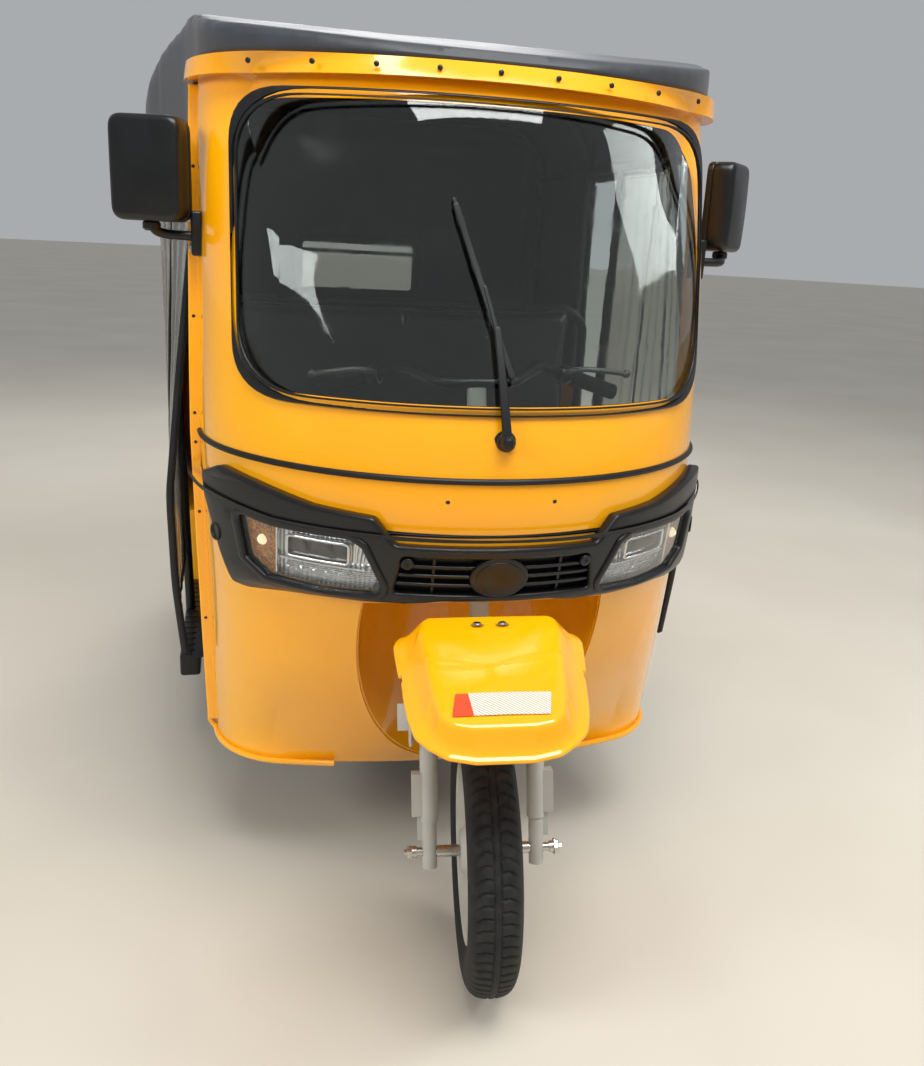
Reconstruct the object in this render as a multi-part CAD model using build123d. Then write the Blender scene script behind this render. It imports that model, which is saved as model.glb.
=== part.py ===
from build123d import *
from math import atan2, cos, pi, radians, sin
import os

# Three-wheeled passenger auto rickshaw, millimetres.
# The vehicle faces -Y, +X is its left side, +Z is up, the floor is z = 0.
# "s" is a distance behind the front axle, measured along Y.

# Main sizes
front_axle_y = -1047.0
wheelbase = 2000.0
rear_track = 1120.0
body_half = 640.0

# Wheels
tyre_radius = 260.0
tyre_half_width = 49.0
rim_radius = 160.0
rim_wall = 5.0
lug_depth = 6.0
lug_count = 26
tyre_rim_gap = 0.3
hub_radius = 62.0
bearing_gap = 0.4

# Steering
rake = 16.0
axle_ahead_of_column = 24.0
steer_at_rest = -8.0
yoke_low = 284.0
yoke_thick = 24.0
well_cap = 484.0
head_low = 492.0
head_high = 640.0
head_radius = 34.0
stem_radius = 19.0
stem_gap = 0.5
bar_level = 880.0
bar_radius = 11.0
grip_inner = 212.0
leg_half_span = 102.0
leg_radius = 17.0
slider_radius = 14.0
front_axle_radius = 8.0
well_radius = 236.0

# Front cowl
wall = 4.0
cowl_low = 290.0
cowl_high = 1650.0
form_high = 1664.0
rear_trim_depth = 60.0
trim_level = 975.0
trim_height = 10.0
trim_stand = 5.0
screen_half = 441.0
screen_low = 1101.0
screen_high = 1594.0
screen_corner = 85.0
seal_half_width = 16.0
seal_stand = 8.0
mask_stand = 22.0
visor_stand = 26.0
visor_low = 1632.0
visor_sheet = 6.0
hidden_gap = 0.3
face_hole_half = 96.0
face_hole_level = 938.0
face_hole_radius = 3.5
dash_level = 960.0
dash_thick = 15.0

# Columns: height, half width, nose distance behind the axle, rear edge distance behind the axle,
# small corner radius as a share of the depth from nose to rear edge
cowl_sections = [
    (cowl_low, 500.0, 292.0, 500.0, 0.80),
    (520.0, 508.0, 150.0, 495.0, 0.82),
    (760.0, 515.0, 50.0, 490.0, 0.85),
    (trim_level, 520.0, 24.0, 488.0, 0.86),
    (1120.0, 518.0, 55.0, 488.0, 0.85),
    (1380.0, 513.0, 145.0, 498.0, 0.82),
    (form_high, 506.0, 250.0, 548.0, 0.80),
]

# Floor, frame and cabin
floor_level = 306.0
floor_thick = 6.0
floor_half = 575.0
sill_half = 605.0
rail_half_span = 255.0
rail_width = 50.0
rail_height = 60.0
rail_low = 240.0
seat_front = 900.0
seat_rear = 1180.0
driver_seat_level = 560.0
cushion_thick = 85.0
partition_s = 1215.0
partition_high = 1190.0
rear_seat_level = 590.0
tub_front = 1470.0
tub_rear = 2315.0
tub_low = 330.0
tub_high = 945.0
tub_corner = 130.0
tub_wall = 4.0
arch_radius = 305.0
lid_half = 300.0
lid_low = 440.0
lid_high = 800.0
lid_gap = 5.0
hinge_radius = 5.0
hinge_half = 20.0
hinge_places = (-200.0, 200.0)
hinge_side_gap = 0.3
knuckle_width = 8.0
panel_height = 2.0
canopy_wall = 6.0
canopy_gap = 0.5
canopy_half = 645.0
canopy_front = 240.0
front_bow_s = 560.0
front_bow_half = 515.0
canopy_crown = 1800.0
canopy_shoulder = 170.0
canopy_skirt = 1560.0
doorway_rear = 1500.0
window_half = 220.0
window_low = 1155.0
window_high = 1345.0
bow_radius = 13.0
bow_places = (960.0, 1510.0, 2020.0)
rail_level = 1588.0
bow_bend = 150.0

axle_height = tyre_radius
hinge_s = tub_rear + hinge_radius + 0.5
hinge_level = lid_high + lid_gap / 2
rear_axle_s = wheelbase
column_cos = cos(radians(rake))
column_sin = sin(radians(rake))
column_s0 = axle_ahead_of_column / column_cos


def place(s, x=0.0, z=0.0):
    """A point given by its distance behind the front axle."""
    return Vector(x, front_axle_y + s, z)


# The column's frame: origin level with the axle, Z up the raked column, Y to the rear
column_origin = place(column_s0 * column_cos * column_cos, 0, axle_height - column_s0 * column_cos * column_sin)
column_dir = Vector(0, column_sin, column_cos)
column = Plane(origin=column_origin, x_dir=(1, 0, 0), z_dir=column_dir)
axle_ahead = column_s0 * column_cos


def steered(shape):
    """Turn a straight-ahead piece to where the parked steering leaves it."""
    return shape.rotate(Axis(column_origin, column_dir), steer_at_rest)


def fused(parts):
    """One part out of several that meet."""
    total = parts[0]
    for part in parts[1:]:
        total = total + part
    return total


def box_between(x0, x1, s0, s1, z0, z1):
    """A plain block between two corners."""
    centre = place((s0 + s1) / 2, (x0 + x1) / 2, (z0 + z1) / 2)
    return Pos(centre) * Box(abs(x1 - x0), abs(s1 - s0), abs(z1 - z0))


def rod(start, end, radius):
    """A round bar between two points."""
    start = Vector(start)
    end = Vector(end)
    along = end - start
    plane = Plane(origin=start, z_dir=along)
    return plane * Pos(0, 0, along.length / 2) * Cylinder(radius, along.length)


def tube_path(points, bends, radius):
    """A round tube along straight runs joined by arcs."""
    path = FilletPolyline(*points, radius=bends)
    start = Vector(points[1]) - Vector(points[0])
    return sweep(Plane(origin=points[0], z_dir=start) * Circle(radius), path=path)


def arch_edges(z, half, nose, rear, share, out):
    """The plan outline of the cowl at one height, three arcs and a straight-sided tail."""
    a = half + out
    b = rear - nose + out
    small = (rear - nose) * share + out
    large = (a * a + b * b - 2 * a * small) / (2 * (b - small))
    y_rear = front_axle_y + rear
    cx = a - small
    cy = large - b
    turn = atan2(cy, cx)
    kx = cx + small * cos(turn)
    ky = -small * sin(turn)
    mid_x = cx + small * cos(turn / 2)
    mid_y = -small * sin(turn / 2)
    right = (a, y_rear, z)
    left = (-a, y_rear, z)
    right_mid = (mid_x, y_rear + mid_y, z)
    left_mid = (-mid_x, y_rear + mid_y, z)
    right_join = (kx, y_rear + ky, z)
    left_join = (-kx, y_rear + ky, z)
    edges = [
        ThreePointArc(right, right_mid, right_join),
        ThreePointArc(right_join, (0, y_rear - b, z), left_join),
        ThreePointArc(left_join, left_mid, left),
    ]
    y_tail = y_rear + rear_trim_depth
    edges.append(Polyline(left, (-a, y_tail, z), (a, y_tail, z), right))
    return edges


def cowl_body(out):
    """The cowl's outer form, moved out by a distance, as a solid that runs on behind its rear edge."""
    faces = []
    for z, half, nose, rear, share in cowl_sections:
        faces.append(make_face(arch_edges(z, half, nose, rear, share, out)))
    return loft(faces)


def behind_rear_edge():
    """Everything behind the cowl's rear edge, seen from the side."""
    edge = [place(rear, 0, z) for z, half, nose, rear, share in cowl_sections]
    outline = [place(edge[0].Y - front_axle_y, 0, 0)] + edge
    outline += [place(edge[-1].Y - front_axle_y, 0, 2000), place(900, 0, 2000), place(900, 0, 0)]
    face = make_face(Polyline(*outline, close=True))
    return extrude(face, amount=700, both=True, dir=(1, 0, 0))


def front_prism(half, low, high, corner):
    """A rounded rectangle seen from the front, carried back through the cowl's face."""
    mid = (low + high) / 2
    plane = Plane(origin=place(-60, 0, mid), x_dir=(1, 0, 0), z_dir=(0, 1, 0))
    outline = RectangleRounded(2 * half, high - low, corner)
    return extrude(plane * outline, amount=620)


def front_outline(points, depth=620.0):
    """A symmetric outline seen from the front, from its right half, carried back."""
    right = [(x, front_axle_y - 60, z) for x, z in points]
    left = [(-x, y, z) for x, y, z in reversed(right) if x > 0]
    face = make_face(Polyline(*(right + left), close=True))
    return extrude(face, amount=depth, dir=(0, 1, 0))


def lamp_prism(points, side, depth=620.0):
    """One lamp's outline seen from the front, carried back."""
    corners = [(side * x, front_axle_y - 60, z) for x, z in points]
    face = make_face(Polyline(*corners, close=True))
    return extrude(face, amount=depth, dir=(0, 1, 0))


# Right half of the mask's outline from the front: top edge outwards in, then the bottom edge back out
mask_half_outline = [
    (0, 758), (112, 758), (168, 740), (245, 735), (345, 742), (425, 772), (478, 825), (505, 885), (530, 905),
    (530, 952), (440, 925), (330, 903), (235, 880), (112, 874), (0, 874),
]
# One lamp's outline from the front, clockwise from the outer top
lamp_outline = [(449, 858), (330, 858), (244, 842), (222, 782), (300, 770), (395, 786), (432, 815)]

# The forms that several pieces share
cowl_core = cowl_body(0)
cowl_inner = cowl_body(-wall)
rear_room = behind_rear_edge()
well_axis_block = column * Pos(0, 0, 140) * Cylinder(well_radius, 2 * (well_cap - 140))
screen_opening = front_prism(screen_half, screen_low, screen_high, screen_corner)


def skin_patch(stand, outline, hole=None):
    """A piece that lies on the cowl's skin, inside an outline seen from the front."""
    column_of_air = outline - rear_room
    if hole is not None:
        column_of_air = column_of_air - hole
    return (column_of_air & cowl_body(stand)) - cowl_core


def make_front_cowl():
    """Apron, face and windscreen pillars, one pressing."""
    shell = cowl_core - cowl_inner
    shell = shell - screen_opening - rear_room
    above = box_between(-600, 600, 0, 700, cowl_high, form_high + 10)
    shell = shell - above - well_axis_block
    for side in (-1, 1):
        shell = shell - rod(place(-40, side * face_hole_half, face_hole_level),
                            place(120, side * face_hole_half, face_hole_level), face_hole_radius)
    return shell


def make_wheel_well():
    """The liner in which the fork turns, open at the bottom."""
    height = well_cap + 200
    outer = column * Pos(0, 0, height / 2 - 200) * Cylinder(well_radius, height)
    inner = column * Pos(0, 0, height / 2 - 200 - wall) * Cylinder(well_radius - wall, height)
    liner = outer - inner
    stem_hole = column * Pos(0, 0, well_cap) * Cylinder(stem_radius + 6, 60)
    liner = liner - stem_hole
    inside = cowl_inner & box_between(-600, 600, -100, 900, cowl_low, 900)
    return liner & inside


def make_windscreen():
    """The glass fills the opening in the cowl's face."""
    pane = cowl_core - cowl_inner
    return pane & screen_opening


def make_windscreen_seal():
    """A rubber section over the joint between glass and cowl."""
    outer = front_prism(screen_half + seal_half_width, screen_low - seal_half_width,
                        screen_high + seal_half_width, screen_corner + seal_half_width)
    inner = front_prism(screen_half - seal_half_width, screen_low + seal_half_width,
                        screen_high - seal_half_width, screen_corner - seal_half_width)
    return skin_patch(seal_stand, outer, inner)


def make_trim_strip():
    """A raised strip round the face below the windscreen."""
    half = trim_height / 2
    return skin_patch(trim_stand, box_between(-600, 600, -100, 480, trim_level - half, trim_level + half))


def make_front_visor():
    """The lip over the windscreen and the sheet behind it that takes the canopy's front edge."""
    lip = skin_patch(visor_stand, box_between(-600, 600, 0, 700, visor_low, form_high))
    sheet = cowl_core & box_between(-600, 600, 0, 430, form_high - visor_sheet, form_high)
    return lip + sheet


def make_headlamp_mask():
    """The black moulding that carries both lamps and the grille between them."""
    skin = skin_patch(mask_stand, front_outline(mask_half_outline))
    for side in (-1, 1):
        skin = skin - lamp_prism(lamp_outline, side)
    slot_height = 12.0
    slot_pitch = 22.0
    for row in range(4):
        z = 782 + row * slot_pitch
        slot = box_between(-100, 100, -60, front_face_s(z) - 8, z, z + slot_height)
        disc_room = Pos(place(0, 0, 819)) * Rot(90, 0, 0) * Cylinder(46, 400)
        skin = skin - (slot - disc_room)
    return skin


def front_face_s(z):
    """Where the cowl's nose is at a height, between the listed sections."""
    for low, high in zip(cowl_sections, cowl_sections[1:]):
        if low[0] <= z <= high[0]:
            share = (z - low[0]) / (high[0] - low[0])
            return low[2] + share * (high[2] - low[2])
    return cowl_sections[-1][2]


def make_headlamps():
    """Two lamp bodies with clear fronts, seated in the mask's pockets."""
    return [skin_patch(mask_stand - 8, lamp_prism(lamp_outline, side)) for side in (-1, 1)]


def make_mirror(side):
    """A large mirror head on a bent arm and a foot on the pillar."""
    foot = box_between(side * 514, side * 524, 452, 486, 1318, 1396) - cowl_core
    arm = tube_path([place(470, side * 520, 1352), place(455, side * 585, 1352), place(440, side * 592, 1440)],
                    [24], 9)
    head = box_between(side * 532, side * 668, 385, 450, 1425, 1605)
    head = fillet(head.edges(), 22)
    return fused([foot, arm, head])


def make_wiper():
    """Pivot, arm and blade lying on the glass."""
    hub = rod(place(60, 0, 1043), place(12, 0, 1043), 14)
    arm = rod(place(16, 0, 1043), place(70, 8, 1230), 5)
    blade = rod(place(130, -80, 1430), place(40, 12, 1150), 8)
    return fused([hub - cowl_core, fused([arm, blade]) - cowl_body(seal_stand + 0.5)])


def make_dash_panel():
    """The shelf and instrument pod behind the windscreen."""
    shelf = cowl_inner & box_between(-600, 600, -100, 300, dash_level, dash_level + dash_thick)
    column_room = column * Pos(0, 0, 700) * Cylinder(60, 800)
    pod = box_between(-120, 120, 130, 200, dash_level + dash_thick, 1065)
    pod = fillet(pod.edges().filter_by(Axis.X), 18)
    return (shelf + pod) - column_room


def make_chassis_frame():
    """Two rails with cross members, and the tube that carries the steering head."""
    parts = []
    for side in (-1, 1):
        x0 = side * (rail_half_span - rail_width / 2)
        x1 = side * (rail_half_span + rail_width / 2)
        parts.append(box_between(x0, x1, 560, 2260, rail_low, rail_low + rail_height))
    for s in (585, 1210, 1560, 1720, 2050, 2235):
        parts.append(box_between(-rail_half_span, rail_half_span, s - 25, s + 25, rail_low, rail_low + rail_height))
    frame = fused(parts)
    head_mid = (head_low + head_high) / 2
    head = column * Pos(0, 0, head_mid) * Cylinder(head_radius, head_high - head_low)
    bore = column * Pos(0, 0, head_mid) * Cylinder(stem_radius + stem_gap, head_high - head_low + 20)
    neck_start = column_origin + column_dir * (head_mid + 10)
    neck = tube_path([neck_start, place(500, 0, neck_start.Z - 20), place(585, 0, rail_low + rail_height / 2)],
                     [110], 28)
    return fused([frame, head, neck]) - bore


def make_floor_pan():
    """The ribbed floor with its sills, between the cowl and the rear body."""
    deck = box_between(-floor_half, floor_half, 520, tub_front - hidden_gap, floor_level - floor_thick, floor_level)
    sills = []
    for side in (-1, 1):
        x0 = side * (floor_half - 20)
        x1 = side * sill_half
        sills.append(box_between(x0, x1, 520, tub_front - hidden_gap, 229, floor_level))
    footwell = cowl_body(-wall - hidden_gap) & box_between(-600, 600, 200, 560, floor_level - floor_thick, floor_level)
    well_room = column * Pos(0, 0, 100) * Cylinder(well_radius + hidden_gap, 600)
    deck = fused([deck, footwell - well_room] + sills)
    mat_panel = box_between(-500, 500, 1245, 1445, floor_level, floor_level + panel_height)
    return deck + mat_panel - box_between(-45, 45, 500, 650, 200, 400)


def profile_solid(out):
    """The canopy's outer form moved by a distance, from its plan, side and end outlines."""
    top = canopy_crown + out
    half = canopy_half + out
    rear = tub_rear + out
    front = canopy_front
    widest_s = 950.0
    narrow = front_bow_half + out
    plan = make_face(Polyline(
        (-narrow, front_axle_y + front_bow_s, 0), (narrow, front_axle_y + front_bow_s, 0),
        (half, front_axle_y + widest_s, 0), (half, front_axle_y + rear, 0),
        (-half, front_axle_y + rear, 0), (-half, front_axle_y + widest_s, 0), close=True))
    plan_solid = extrude(plan, amount=2000, dir=(0, 0, 1))
    plan_solid = fillet(plan_solid.edges().filter_by(Axis.Z).sort_by(Axis.Y)[-2:], tub_corner + out)
    z, cowl_half, nose, cowl_rear, share = cowl_sections[-1]
    stand = front_bow_half - cowl_half + out
    brow = make_face(arch_edges(0, cowl_half, nose, cowl_rear, share, stand))
    plan_solid = plan_solid + extrude(brow, amount=2000, dir=(0, 0, 1))
    side = make_face(Polyline(
        (0, front_axle_y + 100, 600), (0, front_axle_y + 100, 1686 + out), (0, front_axle_y + front, 1686 + out),
        (0, front_axle_y + 420, 1728 + out), (0, front_axle_y + 640, 1770 + out),
        (0, front_axle_y + 900, top), (0, front_axle_y + 2050, top - 12),
        (0, front_axle_y + 2235 + out, 1690), (0, front_axle_y + rear, tub_high - 20),
        (0, front_axle_y + rear, 600), close=True))
    side_solid = extrude(side, amount=800, both=True, dir=(1, 0, 0))
    end = Plane(origin=place(0), x_dir=(-1, 0, 0), z_dir=(0, 1, 0))
    crown = 30.0
    section = make_face([
        Line((-half, 500), (half, 500)),
        Line((half, 500), (half, top - crown - canopy_shoulder)),
        ThreePointArc((half, top - crown - canopy_shoulder),
                      (half - canopy_shoulder * (1 - cos(pi / 4)), top - crown - canopy_shoulder * (1 - sin(pi / 4))),
                      (half - canopy_shoulder, top - crown)),
        ThreePointArc((half - canopy_shoulder, top - crown), (0, top), (-half + canopy_shoulder, top - crown)),
        ThreePointArc((-half + canopy_shoulder, top - crown),
                      (-half + canopy_shoulder * (1 - cos(pi / 4)), top - crown - canopy_shoulder * (1 - sin(pi / 4))),
                      (-half, top - crown - canopy_shoulder)),
        Line((-half, top - crown - canopy_shoulder), (-half, 500)),
    ])
    end_solid = extrude(end * section, amount=2600)
    return plan_solid & side_solid & end_solid


def make_canopy():
    """The leatherette hood, open at the doorways, the front and the rear window."""
    shell = profile_solid(0) - profile_solid(-canopy_wall)
    doors = box_between(-900, 900, 0, doorway_rear, 0, canopy_skirt)
    under = box_between(-900, 900, doorway_rear - 10, 2600, 0, tub_high + canopy_gap)
    shell = shell - doors - under
    window = rear_window_prism(window_half, window_low, window_high, 40)
    shell = shell - window
    front_room = box_between(-560, 560, 0, front_bow_s, 0, form_high + canopy_gap)
    return shell - front_room


def rear_window_prism(half, low, high, corner):
    """A rounded rectangle through the canopy's back."""
    plane = Plane(origin=place(2150, 0, (low + high) / 2), x_dir=(1, 0, 0), z_dir=(0, 1, 0))
    return extrude(plane * RectangleRounded(2 * half, high - low, corner), amount=300)


def make_rear_window():
    """Clear film sewn into the canopy's back."""
    shell = profile_solid(0) - profile_solid(-canopy_wall)
    return shell & rear_window_prism(window_half, window_low, window_high, 40)


def make_canopy_frame():
    """Bows, side rails and uprights of round tube under the hood."""
    parts = []
    inset = canopy_wall + bow_radius + 4
    half = canopy_half - inset
    top = canopy_crown - inset - 30
    for s in bow_places:
        points = [place(s, -half, rail_level), place(s, -half, top), place(s, half, top), place(s, half, rail_level)]
        parts.append(tube_path(points, [bow_bend, bow_bend], bow_radius))
    for side in (-1, 1):
        front = place(545, side * 478, rail_level)
        knee = place(bow_places[0], side * half, rail_level)
        rear = place(bow_places[-1], side * half, rail_level)
        parts.append(rod(front, knee, bow_radius))
        parts.append(rod(knee, rear, bow_radius))
        foot = place(partition_s, side * (sill_half - 16), floor_level)
        parts.append(rod(foot, place(partition_s, side * half, rail_level), bow_radius))
        for s in (bow_places[1], bow_places[-1]):
            parts.append(rod(place(s, side * (body_half - 22), tub_high), place(s, side * half, rail_level), bow_radius))
    below = box_between(-700, 700, 900, 1400, 0, floor_level)
    return fused(parts) - below


def make_partition():
    """The tube frame behind the driver's bench."""
    half = 540
    points = [place(partition_s, -half, floor_level), place(partition_s, -half, partition_high),
              place(partition_s, half, partition_high), place(partition_s, half, floor_level)]
    return tube_path(points, [70, 70], bow_radius)


def make_seat_bases():
    """Closed boxes under the two benches."""
    driver = box_between(-270, 270, seat_front, seat_rear, floor_level, driver_seat_level)
    rear = box_between(-540, 540, tub_front + 40, 1930, rear_seat_level - 60, rear_seat_level)
    return [driver, rear]


def cushion(half, s0, s1, z0, z1, corner):
    """A plain soft block with rounded edges."""
    block = box_between(-half, half, s0, s1, z0, z1)
    return fillet(block.edges(), corner)


def make_rear_body():
    """The tail tub: side walls with wheel arches, rear wall with the lid's opening, and the seat deck."""
    plan = make_face(Polyline(
        (-body_half, front_axle_y + tub_front, 0), (body_half, front_axle_y + tub_front, 0),
        (body_half, front_axle_y + tub_rear, 0), (-body_half, front_axle_y + tub_rear, 0), close=True))
    outer = extrude(plan, amount=tub_high - tub_low, dir=(0, 0, 1))
    outer = Pos(0, 0, tub_low) * outer
    outer = fillet(outer.edges().filter_by(Axis.Z).sort_by(Axis.Y)[-2:], tub_corner)
    inner = box_between(-body_half + tub_wall, body_half - tub_wall, tub_front - 50, tub_rear - tub_wall,
                        tub_low - 50, tub_high + 50)
    inner = fillet(inner.edges().filter_by(Axis.Z).sort_by(Axis.Y)[-2:], tub_corner - tub_wall)
    walls = outer - inner
    deck_level = rear_seat_level - 60 - tub_wall
    deck = box_between(-body_half + tub_wall, body_half - tub_wall, tub_front, tub_rear - tub_wall,
                       deck_level, deck_level + tub_wall)
    deck = deck & outer
    riser = box_between(-body_half + tub_wall, body_half - tub_wall, tub_front, tub_front + tub_wall,
                        rail_low + rail_height, deck_level)
    arches = Pos(place(rear_axle_s, 0, axle_height)) * Rot(0, 90, 0) * Cylinder(arch_radius, 2 * body_half + 40)
    arch_cut = arches & box_between(-body_half - 20, body_half + 20, 1600, 2310, 0, deck_level - 20)
    lid_room = box_between(-lid_half - lid_gap, lid_half + lid_gap, tub_rear - tub_wall - 6, tub_rear + 20,
                           lid_low - lid_gap, lid_high + lid_gap)
    body = fused([walls, deck, riser])
    side_cut = arch_cut - box_between(-body_half + 60, body_half - 60, 1500, 2400, 0, 900)
    body = body - side_cut - lid_room
    for x in hinge_places:
        for side in (-1, 1):
            near = x + side * (hinge_half + hinge_side_gap)
            body = body + box_between(near, near + side * knuckle_width, tub_rear, hinge_s + hinge_radius,
                                      lid_high - lid_gap / 2, lid_high + 22)
    return body + box_between(-500, 500, 2060, 2270, deck_level + tub_wall, deck_level + tub_wall + panel_height)


def make_engine_lid():
    """The tail's lid, a plain pressed panel hung from its top edge."""
    lid = box_between(-lid_half, lid_half, tub_rear - tub_wall, tub_rear, lid_low, lid_high)
    handle = box_between(-45, 45, tub_rear, tub_rear + 18, lid_low + 30, lid_low + 50)
    parts = [lid, handle]
    for x in hinge_places:
        barrel = rod(place(hinge_s, x - hinge_half, hinge_level), place(hinge_s, x + hinge_half, hinge_level),
                     hinge_radius)
        strap = box_between(x - hinge_half, x + hinge_half, tub_rear, hinge_s, lid_high - 28, hinge_level)
        parts += [barrel - box_between(-900, 900, 0, tub_rear, 0, 2000), strap]
    lid = fused(parts)
    notch = hinge_half + hinge_side_gap + knuckle_width + 1
    for x in hinge_places:
        lid = lid - box_between(x - notch, x + notch, tub_rear - tub_wall - 1, tub_rear, lid_high - 9, lid_high + 1)
    return lid


def make_rear_bumper():
    """A bent tube below the tail on two stays."""
    z = rail_low + rail_height - 16
    bar = tube_path([place(2290, -560, z), place(2370, -560, z), place(2370, 560, z), place(2290, 560, z)],
                    [50, 50], 16)
    stays = [rod(place(2260, side * rail_half_span, z), place(2370, side * rail_half_span, z), 12) for side in (-1, 1)]
    return fused([bar] + stays)


def make_tail_lamps():
    """Two upright lamp units on the tail's corners."""
    lamps = []
    for side in (-1, 1):
        lamp = box_between(side * 400, side * 480, tub_rear + hidden_gap, tub_rear + 32, 600, 760)
        lamps.append(fillet(lamp.edges().filter_by(Axis.Y), 12))
    return lamps


def make_engine_block():
    """The engine and gearbox, closed inside, as one block between the rear wheels."""
    seat = rail_low + rail_height
    return box_between(-180, 180, 1640, 2120, seat, seat + 210)


def make_rear_axle():
    """Two trailing arms with stub axles."""
    parts = []
    rail_face = rail_half_span + rail_width / 2
    pivot_z = rail_low + rail_height / 2
    for side in (-1, 1):
        inner = side * 312
        pivot = rod(place(1620, side * rail_face, pivot_z), place(1620, side * 340, pivot_z), 28)
        arm = rod(place(1620, inner, pivot_z), place(rear_axle_s, side * 390, axle_height), 24)
        hub = Pos(place(rear_axle_s, side * 440, axle_height)) * Rot(0, 90, 0) * Cylinder(30, 100)
        stub = Pos(place(rear_axle_s, side * 520, axle_height)) * Rot(0, 90, 0) * Cylinder(14, 180)
        parts.append(fused([pivot, arm, hub, stub]))
    return parts


def make_rear_shocks():
    """Coil-over units between the arms and the deck."""
    units = []
    for side in (-1, 1):
        low = place(1900, side * 369, 287.5)
        high = place(1900, side * 369, rear_seat_level - 60 - tub_wall - hidden_gap)
        units.append(Pos((low + high) * 0.5) * Cylinder(30, high.Z - low.Z))
    return units


def tyre_solid():
    """A tyre on its own axis, X, with cross lugs round the tread."""
    r_out = tyre_radius - lug_depth
    w = tyre_half_width
    bead = rim_radius + tyre_rim_gap
    profile = make_face([
        Line((bead, -w * 0.62), (bead, w * 0.62)),
        Line((bead, w * 0.62), (bead + 22, w * 0.86)),
        ThreePointArc((bead + 22, w * 0.86), (r_out - 42, w), (r_out - 14, w * 0.88)),
        ThreePointArc((r_out - 14, w * 0.88), (r_out, 0), (r_out - 14, -w * 0.88)),
        ThreePointArc((r_out - 14, -w * 0.88), (r_out - 42, -w), (bead + 22, -w * 0.86)),
        Line((bead + 22, -w * 0.86), (bead, -w * 0.62)),
    ])
    carcass = revolve(Plane.XY * profile, axis=Axis.Y)
    lugs = []
    for row in (-1, 1):
        for index in range(lug_count):
            turn = 360.0 / lug_count * (index + (0.5 if row > 0 else 0.0))
            lug = Pos(r_out - 7, row * w * 0.46, 0) * Box(2 * lug_depth + 14, w * 0.84, 22)
            lugs.append(Rot(0, turn, 0) * lug)
    limit = make_face([
        Line((rim_radius, -w), (rim_radius, w)),
        Line((rim_radius, w), (tyre_radius - 20, w)),
        ThreePointArc((tyre_radius - 20, w), (tyre_radius, 0), (tyre_radius - 20, -w)),
        Line((tyre_radius - 20, -w), (rim_radius, -w)),
    ])
    envelope = revolve(Plane.XY * limit, axis=Axis.Y)
    lug_ring = Compound(lugs) & envelope
    return Rot(0, 0, 90) * (carcass + lug_ring)


def rim_solid(bore_radius):
    """A pressed steel rim with its dish and hub, on its own axis, X."""
    w = tyre_half_width * 0.62
    profile = make_face(Polyline(
        (rim_radius, -w), (rim_radius + 9, -w - 5), (rim_radius + 9, -w - 9), (rim_radius - rim_wall, -w - 6),
        (rim_radius - 22, -w * 0.4), (rim_radius - 22, -4), (hub_radius, -4), (hub_radius, -44),
        (bore_radius, -44), (bore_radius, 44), (hub_radius * 0.6, 44), (hub_radius, 10), (rim_radius - 22, 4),
        (rim_radius - 22, w * 0.4), (rim_radius - rim_wall, w + 6), (rim_radius + 9, w + 9),
        (rim_radius + 9, w + 5), (rim_radius, w), (rim_radius - 14, w * 0.4), (rim_radius - 14, -w * 0.4),
        close=True))
    ring = revolve(Plane.XY * profile, axis=Axis.Y)
    holes = []
    for index in range(8):
        hole = Rot(0, 45 * index, 0) * Pos((hub_radius + rim_radius - 22) / 2, 0, 0)
        holes.append(hole * Rot(90, 0, 0) * Cylinder(13, 40))
    return Rot(0, 0, 90) * (ring - Compound(holes))


def make_fork():
    """Yoke over the tyre, stem, and the plates outside the legs."""
    parts = []
    yoke = column * Pos(0, -axle_ahead / 2, yoke_low + yoke_thick / 2) * Box(2 * (leg_half_span + 34), 90, yoke_thick)
    parts.append(fillet(yoke.edges().filter_by(lambda e: abs(e.tangent_at(0).dot(column_dir)) > 0.9), 24))
    stem_high = bar_level
    stem = column * Pos(0, 0, (yoke_low + stem_high) / 2) * Cylinder(stem_radius, stem_high - yoke_low)
    parts.append(stem)
    return fused(parts)


def make_fork_legs():
    """Two telescopic legs with a plate and a box outside each."""
    legs = []
    for side in (-1, 1):
        x = side * leg_half_span
        upper = column * Pos(x, -axle_ahead, (60 + yoke_low) / 2) * Cylinder(leg_radius, yoke_low - 60)
        slider = column * Pos(x, -axle_ahead, 20) * Cylinder(slider_radius, 100)
        case = column * Pos(x + side * 20, -axle_ahead + 4, 110) * Box(26, 30, 80)
        strip = column * Pos(x + side * 14, -axle_ahead + 4, 48) * Box(18, 16, 50)
        web = column * Pos(x + side * 36, -axle_ahead - 6, yoke_low - 25) * Box(44, 8, 50)
        leg = fused([upper, slider, case, strip, web])
        hole = column * Pos(x, -axle_ahead, 0) * Rot(0, 90, 0) * Cylinder(front_axle_radius, 140)
        legs.append(leg - hole)
    return legs


def make_front_axle():
    """The axle bar with its spacers and end nuts."""
    mid = column * Pos(0, -axle_ahead, 0) * Rot(0, 90, 0)
    bar = mid * Cylinder(front_axle_radius, 270)
    parts = [bar]
    for side in (-1, 1):
        spacer_low = 46.5
        spacer_high = leg_half_span - slider_radius
        spacer = mid * Pos(0, 0, side * (spacer_low + spacer_high) / 2) * Cylinder(11, spacer_high - spacer_low)
        parts.append(spacer)
        nut = mid * Pos(0, 0, side * (leg_half_span + 31)) * Cylinder(11, 12)
        parts.append(nut)
    return fused(parts)


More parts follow.
